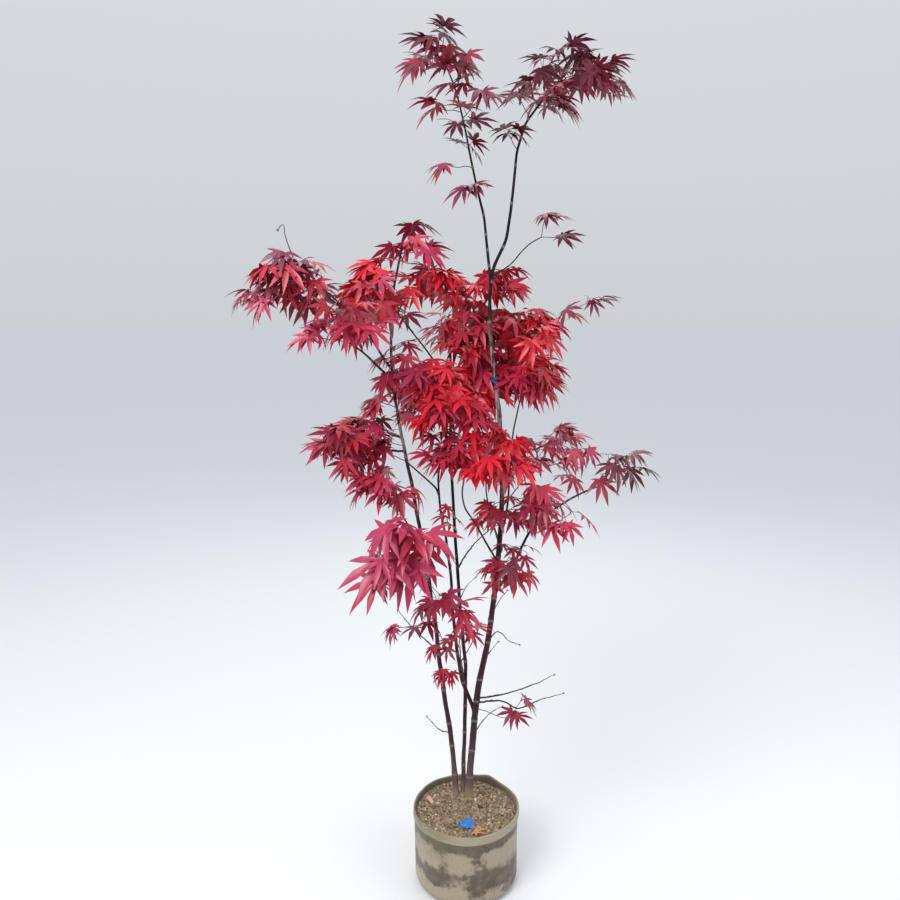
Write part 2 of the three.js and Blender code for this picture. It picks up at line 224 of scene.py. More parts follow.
class MapleSizes(bpy.types.PropertyGroup):
    """Sizes that a user would change, in metres."""

    seed: IntProperty(name="Seed", description="Start of every random choice", default=10)
    ring: length("Ring step", "Distance between the rings of a stem's bark", 0.003)
    node_gap: length("Node gap", "Usual distance between the scars on a stem", 0.085)
    shoot_tip: length("Shoot tip", "Radius of the thinnest shoots", 0.00075)
    stalk: length("Stalk", "Usual length of a leaf's stalk", 0.026)
    stalk_radius: length("Stalk radius", "Radius of a leaf's stalk", 0.00055)
    cuff: length("Cuff", "Height of the turned-over top of the bag", 0.024)
    cuff_proud: length("Cuff thickness", "How far the cuff stands off the wall", 0.0016)
    chip: length("Chip", "Usual size of a chip of bark or pumice in the soil", 0.0045)
    chips: IntProperty(name="Chips", description="How many chips lie on the soil", default=4600)
    eye_height: length("Eye height", "Height of the camera", 1.466)
    eye_distance: length("Eye distance", "Distance of the camera in front of the bag", 1.874)


class MapleColours(bpy.types.PropertyGroup):
    """Colours that a user would change."""

    maroon: colour("Maroon", "Darkest leaves, at the tops", "661528")
    plum: colour("Plum", "Dark leaves with a blue cast", "762540")
    wine: colour("Wine", "Leaves between dark and red", "8a1d38")
    crimson: colour("Crimson", "Deep red leaves", "aa1b33")
    # Scarlet stands in for light shining through backlit leaves: a painted glow, dealt out most in
    # the heart of the crown.
    scarlet: colour("Scarlet", "Brightest leaves", "cd1a2f")
    ruby: colour("Ruby", "Leaves between red and pink", "b22343")
    # Rose is partly the leaves' own pink and partly a painted sheen of sky on their upper faces.
    rose: colour("Rose", "Pinkish leaves, low and on the left", "aa2a4f")
    stalk: colour("Stalk", "Leaf stalks", "8a1c30")
    shoot: colour("Shoot", "Young shoots", "4c2226")
    shoot_dark: colour("Dark shoot", "Older shoots", "2c191b")
    bark: colour("Bark", "Plain bark of the stems", "3a131b")
    bark_black: colour("Dark bark", "Bark near the tops", "0f090b")
    bark_base: colour("Foot bark", "Rough bark at the foot", "6f5c5c")
    bark_pale: colour("Pale bark", "Pale patches and rings", "a49a94")
    felt: colour("Felt", "Felt of the bag", "a3957f")
    # This colour paints the water stains and the dark foot of the felt, and also painted shade on
    # the felt inside the rim.
    felt_stain_and_shade: colour("Felt stain", "Water stains on the felt", "43362a")
    moss: colour("Moss", "Green tint on the left of the felt", "5f5c34")
    soil: colour("Soil", "Damp potting mix", "7d6a55")
    dust: colour("Dust", "Dusty earth round the stems", "a58e72")
    floor: colour("Floor", "Plain floor", "e8eaeb")


# ---------------------------------------------------------------- shaders


class Value:
    """A socket of a material, on which sums are written as Python expressions."""

    def __init__(self, finish, socket):
        self.finish, self.socket = finish, socket

    def sum(self, operation, *terms):
        return self.finish.node("ShaderNodeMath", {"operation": operation}, dict(enumerate(terms)))

    def __add__(self, other):
        return self.sum("ADD", self, other)

    __radd__ = __add__

    def __sub__(self, other):
        return self.sum("SUBTRACT", self, other)

    def __rsub__(self, other):
        return self.sum("SUBTRACT", other, self)

    def __mul__(self, other):
        return self.sum("MULTIPLY", self, other)

    __rmul__ = __mul__

    def rise(self, low, high):
        """0 below low, 1 above high and a smooth slope between; the other way if low > high."""
        return self.finish.node(
            "ShaderNodeMapRange", {"interpolation_type": "SMOOTHSTEP"},
            {"Value": self, "From Min": low, "From Max": high})


class Finish:
    """A material round one Principled BSDF; every other node comes from node()."""

    def __init__(self, name, **constants):
        self.material = bpy.data.materials.new(name)
        self.material.use_nodes = True
        self.tree = self.material.node_tree
        self.shader = self.tree.nodes["Principled BSDF"]
        for socket, value in constants.items():
            self.shader.inputs[socket.replace("_", " ")].default_value = value

    def node(self, kind, settings=None, inputs=None, output=0):
        """Adds a node with its settings and the values or links of its sockets."""
        made = self.tree.nodes.new(kind)
        for setting, value in (settings or {}).items():
            setattr(made, setting, value)
        for socket, value in (inputs or {}).items():
            if isinstance(value, Value):
                self.tree.links.new(value.socket, made.inputs[socket])
            else:
                made.inputs[socket].default_value = value
        return Value(self, made.outputs[output])

    def set(self, socket, value):
        self.tree.links.new(value.socket, self.shader.inputs[socket])

    def place(self, stretch=(1, 1, 1)):
        """The object's own coordinates, stretched."""
        here = self.node("ShaderNodeTexCoord", output=3)
        return self.node("ShaderNodeMapping", None, {"Vector": here, "Scale": stretch})

    def along(self, axis):
        """How far along the object's own axis: 0 to the right, 1 to the back, 2 up."""
        return self.node("ShaderNodeSeparateXYZ", None, {"Vector": self.place()}, output=axis)

    def noise(self, scale, detail, rough, at=None):
        return self.node("ShaderNodeTexNoise", None, {
            "Vector": at or self.place(), "Scale": scale, "Detail": detail, "Roughness": rough})

    def cells(self, scale, at=None):
        return self.node("ShaderNodeTexVoronoi", None, {
            "Vector": at or self.place(), "Scale": scale})

    def mix(self, share, first, second):
        """A colour that goes from the first to the second as the share goes from 0 to 1."""
        def full(value):
            return value if isinstance(value, Value) else (*tuple(value), 1.0)
        return self.node("ShaderNodeMix", {"data_type": "RGBA"},
                         {0: share, 6: full(first), 7: full(second)}, output=2)

    def bump(self, height, depth, strength):
        made = self.node("ShaderNodeBump", None,
                         {"Height": height, "Distance": depth, "Strength": strength})
        self.set("Normal", made)

    def attribute(self, name):
        return self.node("ShaderNodeAttribute", {"attribute_name": name}, output=2)


# ---------------------------------------------------------------- making pieces


def finished(name, mesh, materials, smooth=True):
    """Puts a mesh in the scene as a piece that rides on the one body."""
    mesh.name = name
    for material in materials:
        mesh.materials.append(material)
    mesh.polygons.foreach_set("use_smooth", [smooth] * len(mesh.polygons))
    piece = bpy.data.objects.new(name, mesh)
    bpy.context.scene.collection.objects.link(piece)
    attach(piece, "root")
    return piece


def mesh_of(bm, name, closed=True):
    """A bmesh as a mesh, with its faces pointing out where it is closed."""
    if closed:
        bmesh.ops.recalc_face_normals(bm, faces=bm.faces)
    mesh = bpy.data.meshes.new(name)
    bm.to_mesh(mesh)
    bm.free()
    return mesh


def wrapped(name, across, around, place, marks=None):
    """A closed skin: a grid is laid by place(share across, share around), which gives its
    points, then its seam is merged and open ends are filled. The marks are vertex attributes,
    each worked out by a function of the same two shares."""
    bm = bmesh.new()
    bmesh.ops.create_grid(bm, x_segments=across, y_segments=around, size=0.5)
    flat = np.array([v.co[:2] for v in bm.verts]) + 0.5
    points = place(flat[:, 0], flat[:, 1])
    for mark, rule in (marks or {}).items():
        layer = bm.verts.layers.float.new(mark)
        for vertex, value in zip(bm.verts, rule(flat[:, 0], flat[:, 1])):
            vertex[layer] = value
    for vertex, point in zip(bm.verts, points):
        vertex.co = point
    bmesh.ops.remove_doubles(bm, verts=bm.verts, dist=0.00001)
    rims = [e for e in bm.edges if e.is_boundary]
    if rims:
        bmesh.ops.holes_fill(bm, edges=rims, sides=0)
    return mesh_of(bm, name)


def joined(name, points, faces, shades=None):
    """One mesh from arrays: points, and faces as rows of corners that can repeat the last
    corner to make a triangle; shades are the faces' material numbers."""
    mesh = bpy.data.meshes.new(name)
    rows = [tuple(dict.fromkeys(row)) for row in np.asarray(faces).tolist()]
    mesh.from_pydata(np.asarray(points).tolist(), [], rows)
    if shades is not None:
        mesh.polygons.foreach_set("material_index", np.asarray(shades, dtype=np.int32))
    mesh.update()
    return mesh


def unit(vectors):
    vectors = np.asarray(vectors, float)
    size = np.linalg.norm(vectors, axis=-1, keepdims=True)
    return vectors / np.maximum(size, 1e-12)


def bumps(points, scale, seed=0.0):
    """Smooth noise from -1 to 1 at each point."""
    shift = Vector((seed * 17.3, seed * 9.1, seed * 5.7))
    return np.array([noise.noise(Vector(p) * scale + shift) for p in points])


def ring_noise(turn, tight, height, shift=(0, 0)):
    """Smooth noise round a ring, at angles and heights, that meets itself without a seam."""
    return np.array([
        noise.noise(Vector((math.cos(t) * tight + shift[0], math.sin(t) * tight + shift[1], h)))
        for t, h in zip(turn, height)])


def smoothed(rows, reach):
    """Rows of numbers averaged with their neighbours, up to reach rows away, ends kept."""
    rows = np.asarray(rows, float)
    window = np.hanning(2 * reach + 3)[1:-1]
    window /= window.sum()
    first, last = rows[0], rows[-1]
    before = 2 * first - rows[reach:0:-1]
    after = 2 * last - rows[-2:-reach - 2:-1]
    padded = np.concatenate([before, rows, after])
    if rows.ndim == 1:
        return np.convolve(padded, window, "valid")
    return np.stack([np.convolve(padded[:, i], window, "valid")
                     for i in range(rows.shape[1])], 1)


def travelled(points):
    """Distance along a line of points, from its first."""
    steps = np.linalg.norm(np.diff(points, axis=0), axis=1)
    return np.concatenate([[0.0], np.cumsum(steps)])


def respaced(points, step, *others):
    """A line of points with even steps, and other rows of numbers along it with it."""
    far = travelled(points)
    count = max(2, int(round(far[-1] / step)) + 1)
    at = np.linspace(0, far[-1], count)
    made = [np.stack([np.interp(at, far, points[:, i]) for i in range(3)], 1)]
    made += [np.interp(at, far, other) for other in others]
    return made


def headings(points):
    return unit(np.gradient(np.asarray(points, float), axis=0))


def rings(points, start=(1.0, 0.0, 0.0)):
    """Two directions square to a line at each of its points, turned as little as possible."""
    along = headings(points)
    side = np.zeros_like(along)
    last = np.array(start, float)
    for i, way in enumerate(along):
        last = last - way * np.dot(last, way)
        last /= max(np.linalg.norm(last), 1e-9)
        side[i] = last
    return side, np.cross(along, side)


# ---------------------------------------------------------------- limbs of the frame


def slices(name, step=0.008):
    """The middle line of a limb's solid and its radius there, from slices across it."""
    mesh = frame["nodes"][name].data
    points = np.empty(len(mesh.vertices) * 3)
    mesh.vertices.foreach_get("co", points)
    points = points.reshape(-1, 3)
    edges = np.empty(len(mesh.edges) * 2, dtype=np.int64)
    mesh.edges.foreach_get("vertices", edges)
    edges = edges.reshape(-1, 2)
    foot, tip = points[points[:, 2].argmin()], points[points[:, 2].argmax()]
    heading = unit(tip - foot)
    height = points @ heading
    low, high = height.min(), height.max()
    middles, loops = [], []
    for level in np.linspace(low, high, max(4, int((high - low) / step)))[1:-1]:
        a, b = height[edges[:, 0]] - level, height[edges[:, 1]] - level
        crossing = a * b < 0
        share = (a / (a - b + 1e-15))[crossing][:, None]
        ends = edges[crossing]
        loop = points[ends[:, 0]] * (1 - share) + points[ends[:, 1]] * share
        middles.append((loop.min(0) + loop.max(0)) / 2)
        loops.append(loop)
    middles = np.array(middles)
    along = headings(middles)
    radii = []
    for middle, way, loop in zip(middles, along, loops):
        off = loop - middle
        off -= np.outer(off @ way, way)
        radii.append(np.linalg.norm(off, axis=1).mean())
    return middles, np.array(radii)


class Limb:
    """A stem or bough: the smooth line up its middle and its radius along it."""

    def __init__(self, name, middle, radius, step=0.004):
        self.name = name
        middle, radius = respaced(middle, step, radius)
        reach = min(4, len(middle) // 3)
        self.middle = smoothed(middle, reach)
        self.radius = smoothed(radius, reach)
        self.wobble(0.0011)
        self.heading = headings(self.middle)

    def wobble(self, size):
        """Small bends, as the wood turns a little at each pair of buds."""
        far = travelled(self.middle)
        seed = sum(map(ord, self.name)) % 97
        ease = np.clip(far / 0.03, 0, 1)
        for axis in (0, 1):
            line = np.column_stack([far, far * 0 + seed + axis * 3.1, far * 0])
            self.middle[:, axis] += bumps(line, 13.0, seed) * size * 2 * ease

    def nearest(self, point):
        return int(np.linalg.norm(self.middle - point, axis=1).argmin())

    def at_height(self, height):
        return int(np.abs(self.middle[:, 2] - height).argmin())


def leaned_back(middle, radius, parent, rise=0.012):
    """Carries the foot of a bough back along its own direction, and into its parent."""
    start = middle[0]
    back = unit(middle[0] - middle[min(6, len(middle) - 1)])
    gap = np.linalg.norm(parent.middle - start, axis=1)
    steps = np.linspace(0, 1, 5)[1:]
    reach = gap.min()
    aim = start + back * reach
    join = parent.nearest(aim)
    target = parent.middle[max(0, join - int(rise / 0.004))]
    added = [start * (1 - s) ** 2 + (start + back * reach * 0.5) * 2 * s * (1 - s) + target * s * s
             for s in steps][::-1]
    grown = radius[0] + (np.linspace(0.5, 0.1, len(added)) * 0.3 * radius[0])
    return np.vstack([added, middle]), np.concatenate([grown, radius])


# Which limb each smaller limb grows from.
PARENT = {
    "stem_inner": "stem_middle", "leader_left": "stem_middle",
    "bough_right": "stem_middle", "bough_right_upright": "stem_middle",
    "bough_elbow": "stem_middle", "bough_centre": "stem_middle", "bough_wisp": "stem_middle",
    "bough_left_low": "stem_left", "bough_left_high": "stem_left",
    "bough_left_under": "stem_left", "bough_near": "stem_left",
    "bough_left_mid": "stem_inner", "bough_cross": "stem_back",
}


def limbs_of_frame():
    """Every stem and bough as a Limb, feet sunk into what they grow from."""
    made = {}
    for name in [*STEMS, *BOUGHS]:
        middle, radius = slices(name)
        if name in PARENT:
            middle, radius = leaned_back(middle, radius, made[PARENT[name]])
        else:
            below = middle[0] + (middle[0] - middle[2]) * 0.9
            middle = np.vstack([below, middle])
            radius = np.concatenate([[radius[0]], radius])
        made[name] = Limb(name, middle, radius)
    return made


LIMBS = limbs_of_frame()


# ---------------------------------------------------------------- growing rule


AXIS = np.array([0.0, 0.03, 0.0])  # the upright line that the crown stands round
LEVEL = np.array([1, 1, 0])  # keeps what lies level in a direction
UP = np.array([0, 0, 1.0])


class Inside:
    """Tells whether a point lies within a mass, and picks seeded places there."""

    def __init__(self, name):
        mesh = frame["nodes"][name].data
        self.tree = BVHTree.FromPolygons([v.co for v in mesh.vertices],
                                         [p.vertices for p in mesh.polygons])
        low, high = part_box(name)
        self.low, self.high = np.array(low), np.array(high)
        self.middle = (self.low + self.high) / 2

    def holds(self, point):
        near, normal, _, _ = self.tree.find_nearest(Vector(point))
        return (Vector(point) - near).dot(normal) < 0

    def places(self, room, rng, keep):
        """Places at least room apart, drawn towards the middle by keep on each axis."""
        made = []
        for _ in range(900):
            point = self.low + rng.random(3) * (self.high - self.low)
            if not self.holds(point):
                continue
            point = self.middle + (point - self.middle) * keep
            if all(np.linalg.norm(point - other) > room for other in made):
                made.append(point)
        return made


# What a new shoot costs beside its length: for turning off the way of the wood it leaves, for
# each metre from there to the limb, for each metre it falls, and for growing backwards.
TURN_COST, PATH_COST, FALL_COST, BACK_COST = 0.45, 0.32, 0.5, 0.08
BACKWARDS = -0.25  # a cosine


class Shoots:
    """A growing net of shoots: each new place joins where it costs the least."""

    def __init__(self):
        self.point, self.parent, self.way, self.path, self.limb = [], [], [], [], []
        self.habit = []
        for name, limb in LIMBS.items():
            for i in range(2, len(limb.middle), 3):
                tip = i / len(limb.middle)
                self.add(limb.middle[i], -1, limb.heading[i], 0.03 * (1 - tip), (name, i), None)
        self.rooted = len(self.point)

    def add(self, point, parent, way, path, limb=None, habit=None):
        self.point.append(np.array(point))
        self.parent.append(parent)
        self.way.append(np.array(way))
        self.path.append(path)
        self.limb.append(limb)
        self.habit.append(habit)
        return len(self.point) - 1

    def cost(self, targets, i):
        """What it costs for each target to grow from point i."""
        step = targets - self.point[i]
        far = np.linalg.norm(step, axis=1)
        turn = (step @ self.way[i]) / np.maximum(far, 1e-9)
        fall = np.maximum(0, -step[:, 2])
        back = (turn < BACKWARDS) * BACK_COST
        return (far * (1 + TURN_COST - TURN_COST * turn) + PATH_COST * self.path[i]
                + FALL_COST * fall + back)

    def grow(self, targets, habits):
        targets = np.array(targets)
        best = np.full(len(targets), 1e9)
        source = np.zeros(len(targets), int)
        for i in range(len(self.point)):
            value = self.cost(targets, i)
            better = value < best
            best[better], source[better] = value[better], i
        left = np.ones(len(targets), bool)
        while left.any():
            pick = int(np.where(left, best, 1e9).argmin())
            left[pick] = False
            start = source[pick]
            step = targets[pick] - self.point[start]
            far = np.linalg.norm(step)
            way = unit(step / far + 0.35 * self.way[start] + np.array([0, 0, -0.10]))
            new = self.add(targets[pick], start, way, self.path[start] + far, None, habits[pick])
            value = self.cost(targets, new)
            better = (value < best) & left
            best[better], source[better] = value[better], new

    def children(self):
        made = [[] for _ in self.point]
        for i, parent in enumerate(self.parent):
            if parent >= 0:
                made[parent].append(i)
        return made


def habit_of(name):
    return {**HABIT[name.split("_")[0]], **SPECIAL.get(name, {}), "name": name}


def grown_shoots(seed):
    """The net of shoots for every mass and spray, each with random choices of its own."""
    targets, habits = [], []
    for number, name in enumerate(MASSES):
        rng = np.random.default_rng([seed, number])
        mass = Inside(name)
        habit = {**habit_of(name), "middle": mass.middle, "rng": rng}
        behind = mass.middle[1] > 0.15  # thinner there, so that sky shows through
        room = habit["room"] * (1.16 if behind else 1.0)
        spread = (mass.high - mass.low) / 2
        keep = np.clip((spread - habit["edge"] * habit["reach"]) / spread, 0.55, 0.94)
        keep[2] = 0.84
        for place in mass.places(room, rng, keep):
            targets.append(place + habit.get("shift", (0, 0, 0)))
            habits.append(habit)
    for number, spray in enumerate(SPRAYS):
        rng = np.random.default_rng([seed, len(MASSES) + number])
        habit = {**HABIT["low"], **spray, "name": "spray", "middle": np.array(spray["at"]),
                 "rng": rng}
        for _ in range(spray["pairs"]):
            targets.append(np.array(spray["at"]) + rng.normal(size=3) * spray["spread"] * 0.6)
            habits.append(habit)
    shoots = Shoots()
    shoots.grow(targets, habits)
    return shoots


FINE_STEP = 0.007  # between the points of a stalk or bare shoot


def curve_between(start, end, out, arrive, step):
    """Points on the smooth curve that leaves start along out and reaches end along arrive."""
    far = np.linalg.norm(end - start)
    count = max(3, int(round(far / step)) + 1)
    s = np.linspace(0, 1, count)[:, None]
    a, b = out * far * 0.9, arrive * far * 0.9
    return ((2 * s ** 3 - 3 * s ** 2 + 1) * start + (s ** 3 - 2 * s ** 2 + s) * a
            + (-2 * s ** 3 + 3 * s ** 2) * end + (s ** 3 - s ** 2) * b)


class Tubes:
    """Many thin round shoots or stalks, gathered into one joined mesh."""

    def __init__(self, sides):
        self.sides = sides
        self.points, self.faces, self.shades = [], [], []
        self.count = 0

    def add(self, line, radii, shade=0):
        line = np.asarray(line, float)
        radii = np.broadcast_to(radii, len(line))
        side, other = rings(line, start=(0.3, 0.9, 0.1))
        turn = np.arange(self.sides) / self.sides * math.tau
        ring = (side[:, None] * np.cos(turn)[None, :, None]
                + other[:, None] * np.sin(turn)[None, :, None])
        points = line[:, None] + ring * radii[:, None, None]
        first = self.count
        self.points.append(points.reshape(-1, 3))
        n, k = len(line), self.sides
        for i in range(n - 1):
            for j in range(k):
                a, b = first + i * k + j, first + i * k + (j + 1) % k
                self.faces.append((a, b, b + k, a + k))
        self.points.append(np.array([line[0], line[-1] + (line[-1] - line[-2]) * 0.05]))
        cap, end = first + n * k, first + n * k + 1
        for j in range(k):
            nxt = (j + 1) % k
            self.faces.append((cap, first + nxt, first + j, first + j))
            self.faces.append((end, first + (n - 1) * k + j, first + (n - 1) * k + nxt,
                               first + (n - 1) * k + nxt))
        self.shades += [shade] * ((n - 1) * k + 2 * k)
        self.count += n * k + 2

    def mesh(self, name):
        return joined(name, np.concatenate(self.points), self.faces, self.shades)


# ---------------------------------------------------------------- a leaf

# Lobes of a leaf from one side to the other: heading in degrees from the middle lobe, and
# length as a share of it.
LOBES = {
    7: [(-118, 0.40), (-73, 0.72), (-35, 0.93), (0, 1.0), (35, 0.93), (73, 0.72), (118, 0.40)],
    5: [(-84, 0.58), (-41, 0.88), (0, 1.0), (41, 0.88), (84, 0.58)],
}
SINUS = 0.24  # how far out the cuts between the lobes start
# Along a lobe: how far out, and half its width, both as shares of the lobe's length.
WAIST, WAIST_HALF = 0.55, 0.110
THIN, THIN_HALF = 0.79, 0.056


def leaf_points(reach, lobes, rng, droop, cup):
    """The points of one leaf, flat side up, its stalk at the origin and its middle lobe
    along +X; droop bends the lobes down and cup raises their edges off their ribs."""
    rows = LOBES[lobes]
    angle = np.radians([a + rng.normal() * 3.0 for a, _ in rows])
    span = np.array([s * (1 + rng.normal() * 0.05) for _, s in rows]) * reach
    points = [(0.0, 0.0, 0.0)]
    cuts = [angle[0] - 0.62, *((angle[1:] + angle[:-1]) / 2), angle[-1] + 0.62]
    deep = [0.10, *([SINUS] * (lobes - 1)), 0.10]
    for cut, far in zip(cuts, deep):
        points.append((math.cos(cut) * far * reach, math.sin(cut) * far * reach, 0.0))
    for a, s in zip(angle, span):
        way, side = (math.cos(a), math.sin(a)), (-math.sin(a), math.cos(a))
        bend = rng.normal() * 0.05
        sag = droop * rng.uniform(0.8, 1.2)
        for far, half in ((WAIST, WAIST_HALF), (THIN, THIN_HALF), (1.0, 0.0)):
            across = bend * far * far
            low = -sag * far * far * s
            for edge in ((-1, 0, 1) if half else (0,)):
                off = across + edge * half
                lift = cup * half * abs(edge)
                points.append((
                    (way[0] * far + side[0] * off) * s,
                    (way[1] * far + side[1] * off) * s,
                    low + lift * s))
    return np.array(points)


def leaf_faces(lobes):
    """Corners of the faces of a leaf with that many lobes."""
    faces = []
    for i in range(lobes):
        left, right = 1 + i, 2 + i
        wide = 2 + lobes + i * 7
        thin, tip = wide + 3, wide + 6
        faces += [
            (0, left, wide, wide + 1), (0, wide + 1, wide + 2, right),
            (wide, thin, thin + 1, wide + 1), (wide + 1, thin + 1, thin + 2, wide + 2),
            (thin, tip, thin + 1, thin + 1), (thin + 1, tip, thin + 2, thin + 2),
        ]
    return np.array(faces)


LEAF_FACES = {lobes: leaf_faces(lobes) for lobes in LOBES}


class Leaves:
    """Leaves gathered into one joined mesh, with the tint of each."""

    def __init__(self, tints):
        self.tints = tints
        self.points, self.faces, self.shades = [], [], []
        self.count = 0

    def add(self, points, lobes, tint):
        faces = LEAF_FACES[lobes] + self.count
        self.points.append(points)
        self.faces.append(faces)
        self.shades += [self.tints.index(tint)] * len(faces)
        self.count += len(points)

    def mesh(self, name):
        return joined(name, np.concatenate(self.points), np.concatenate(self.faces), self.shades)


def pulled_in(points, slack=(0.008, 0.016, 0.002)):
    """How far to move points so that they stay in the frame's box and a little slack."""
    low = np.array(BOX[0]) - slack
    high = np.array(BOX[1]) + slack
    return np.maximum(0, low - points.min(0)) - np.maximum(0, points.max(0) - high)


TINTS = ["maroon", "plum", "wine", "crimson", "scarlet", "ruby", "rose"]


# How leaves differ: spread of their hang and roll, and the most that a blade is raised.
HANG_SPREAD, ROLL_SPREAD, MOST_RAISED = 0.26, 0.42, -0.10
CUP = 0.30  # how steeply a lobe's edges rise from its rib
# Chances: that a shoot keeps its parent's tint and a leaf its shoot's; that each leaf of a pair
# is there at a shoot's end and lower down; that a shoot's end has one leaf more.
KEEP_TINT, KEEP_LEAF_TINT = 0.7, 0.75
END_LEAF, LOWER_LEAF, MORE_LEAF = 0.97, 0.86, 0.45


class Canopy:
    """Puts leaves and stalks on the shoots."""

    def __init__(self, sizes):
        self.sizes = sizes
        self.leaves = {kind: Leaves(TINTS) for kind in ("dark", "scarlet", "rose")}
        self.stalks = Tubes(4)

    def kind(self, name):
        zone = name.split("_")[0]
        return {"crown": "dark", "wisp": "dark", "low": "rose", "spray": "rose"}.get(zone, "scarlet")

    def leaf(self, node, way, habit, tint, scale=1.0):
        """One leaf: a stalk that leaves the node along way, and a blade that hangs from it."""
        rng, sizes = habit["rng"], self.sizes
        reach = habit["reach"] * scale * rng.uniform(0.82, 1.18)
        stalk = sizes.stalk * scale * rng.uniform(0.7, 1.3)
        aim = unit(way + UP * rng.uniform(0.18, 0.43))
        hang = max(MOST_RAISED, habit["hang"] + HANG_SPREAD * rng.normal())
        outward = unit((node - habit["middle"]) * LEVEL) * 0.45 + unit((node - AXIS) * LEVEL) * 0.55
        if node[1] < 0.10:  # all but the farthest leaves also turn a little to the front
            outward = outward + (0, -0.25, 0)
        flat = unit(way * LEVEL * 0.9 + outward + rng.normal(size=3) * LEVEL * 0.35)
        pitch = hang * math.pi / 2
        middle = unit(flat * math.cos(pitch) - UP * math.sin(pitch))
        across = unit(np.cross(UP, flat))
        roll = rng.normal() * ROLL_SPREAD
        normal = np.cross(middle, across)
        across, normal = (across * math.cos(roll) + normal * math.sin(roll),
                          normal * math.cos(roll) - across * math.sin(roll))
        base = node + aim * stalk * 0.8 + middle * stalk * 0.2
        lobes = 7 if rng.random() < 0.72 else 5
        local = leaf_points(reach, lobes, rng, rng.uniform(0.06, 0.28), CUP)
        points = base + local @ np.stack([middle, across, normal])
        out = np.linalg.norm(local, axis=1) / reach
        points[:, 2] -= out ** 2 * reach * 0.08
        shift = pulled_in(points)
        points += shift
        line = curve_between(node, base + shift, aim, middle, FINE_STEP)
        self.stalks.add(line, sizes.stalk_radius * np.linspace(1.25, 0.9, len(line)))
        self.leaves[self.kind(habit["name"])].add(points, lobes, tint)


def flows(shoots, children):
    """The direction in which the wood passes through each place, and its main child."""
    main = [max(kids, key=lambda k: len(children[k]) + shoots.point[k][2]) if kids else -1
            for kids in children]
    flow = []
    for i, way in enumerate(shoots.way):
        if i < shoots.rooted or main[i] < 0:
            flow.append(way)
        else:
            flow.append(unit(way + 0.8 * unit(shoots.point[main[i]] - shoots.point[i])))
    return flow, main


PIPE = 2.3  # radii raised to this power add up where shoots join


def thickness(shoots, children, tip):
    """Radius of the shoot that reaches each place: what it carries, added up."""
    radius = np.full(len(shoots.point), tip)
    for i in range(len(shoots.point) - 1, shoots.rooted - 1, -1):
        carried = sum(radius[k] ** PIPE for k in children[i])
        radius[i] = max(tip, carried ** (1 / PIPE)) * 1.02 if children[i] else tip
    return radius


OLD_SHOOT = 0.0013  # radius over which a shoot has the darker bark


def grow_canopy(sizes):
    """Shoots, stalks and leaves of the whole crown."""
    shoots = grown_shoots(sizes.seed)
    children = shoots.children()
    flow, main = flows(shoots, children)
    radius = thickness(shoots, children, sizes.shoot_tip)
    canopy = Canopy(sizes)
    wood = Tubes(6)
    tint_of = {}
    for i in range(shoots.rooted, len(shoots.point)):
        parent, habit = shoots.parent[i], shoots.habit[i]
        rng = habit["rng"]
        start, end = shoots.point[parent], shoots.point[i]
        straight = unit(end - start)
        from_limb = parent < shoots.rooted
        lead = flow[parent] if main[parent] == i and not from_limb else straight + 0.5 * flow[parent]
        line = curve_between(start, end, unit(lead), flow[i], 0.008)
        line[1:-1] += rng.normal(size=(len(line) - 2, 3)) * 0.0006
        begin = radius[i] * 1.08
        if from_limb:
            name, place = shoots.limb[parent]
            begin = min(begin * 1.35, LIMBS[name].radius[place] * 0.8)
        taper = np.linspace(begin, radius[i], len(line))
        taper[-2:] *= 1.18  # the knuckle at a pair of buds
        wood.add(line, taper, int(radius[i] > OLD_SHOOT))
        tints = habit["tints"].split()
        if parent in tint_of and rng.random() < KEEP_TINT:
            tint = tint_of[parent]
        else:
            tint = tints[int(rng.integers(len(tints)))]
        tint_of[i] = tint
        way = flow[i]
        side = unit(np.cross(way, UP) + rng.normal(size=3) * 0.15)
        tip = not children[i]
        for hand in (-1, 1):
            if rng.random() < (END_LEAF if tip else LOWER_LEAF):
                aim = unit(way * 0.75 + hand * side)
                same = rng.random() < KEEP_LEAF_TINT
                mixed = tint if same else tints[int(rng.integers(len(tints)))]
                canopy.leaf(end, aim, habit, mixed)
        if tip:
            turn = 0.45 if rng.random() < 0.5 else -0.45
            canopy.leaf(end, unit(way + turn * side), habit, tint, 0.94)
            if rng.random() < MORE_LEAF:
                canopy.leaf(end, unit(way - turn * side), habit, tint, 0.8)
    return wood, canopy


# ---------------------------------------------------------------- materials


def plain(name, tint, roughness=0.5, **more):
    """A material of one colour, for small things that are dealt out by spray."""
    made = Finish(name, Roughness=roughness, **more)
    made.shader.inputs["Base Color"].default_value = (*tint, 1.0)
    return made.material


def leaf_materials(colours):
    return [plain(f"leaf_{tint}", getattr(colours, tint), 0.36, Sheen_Weight=0.04)
            for tint in TINTS]


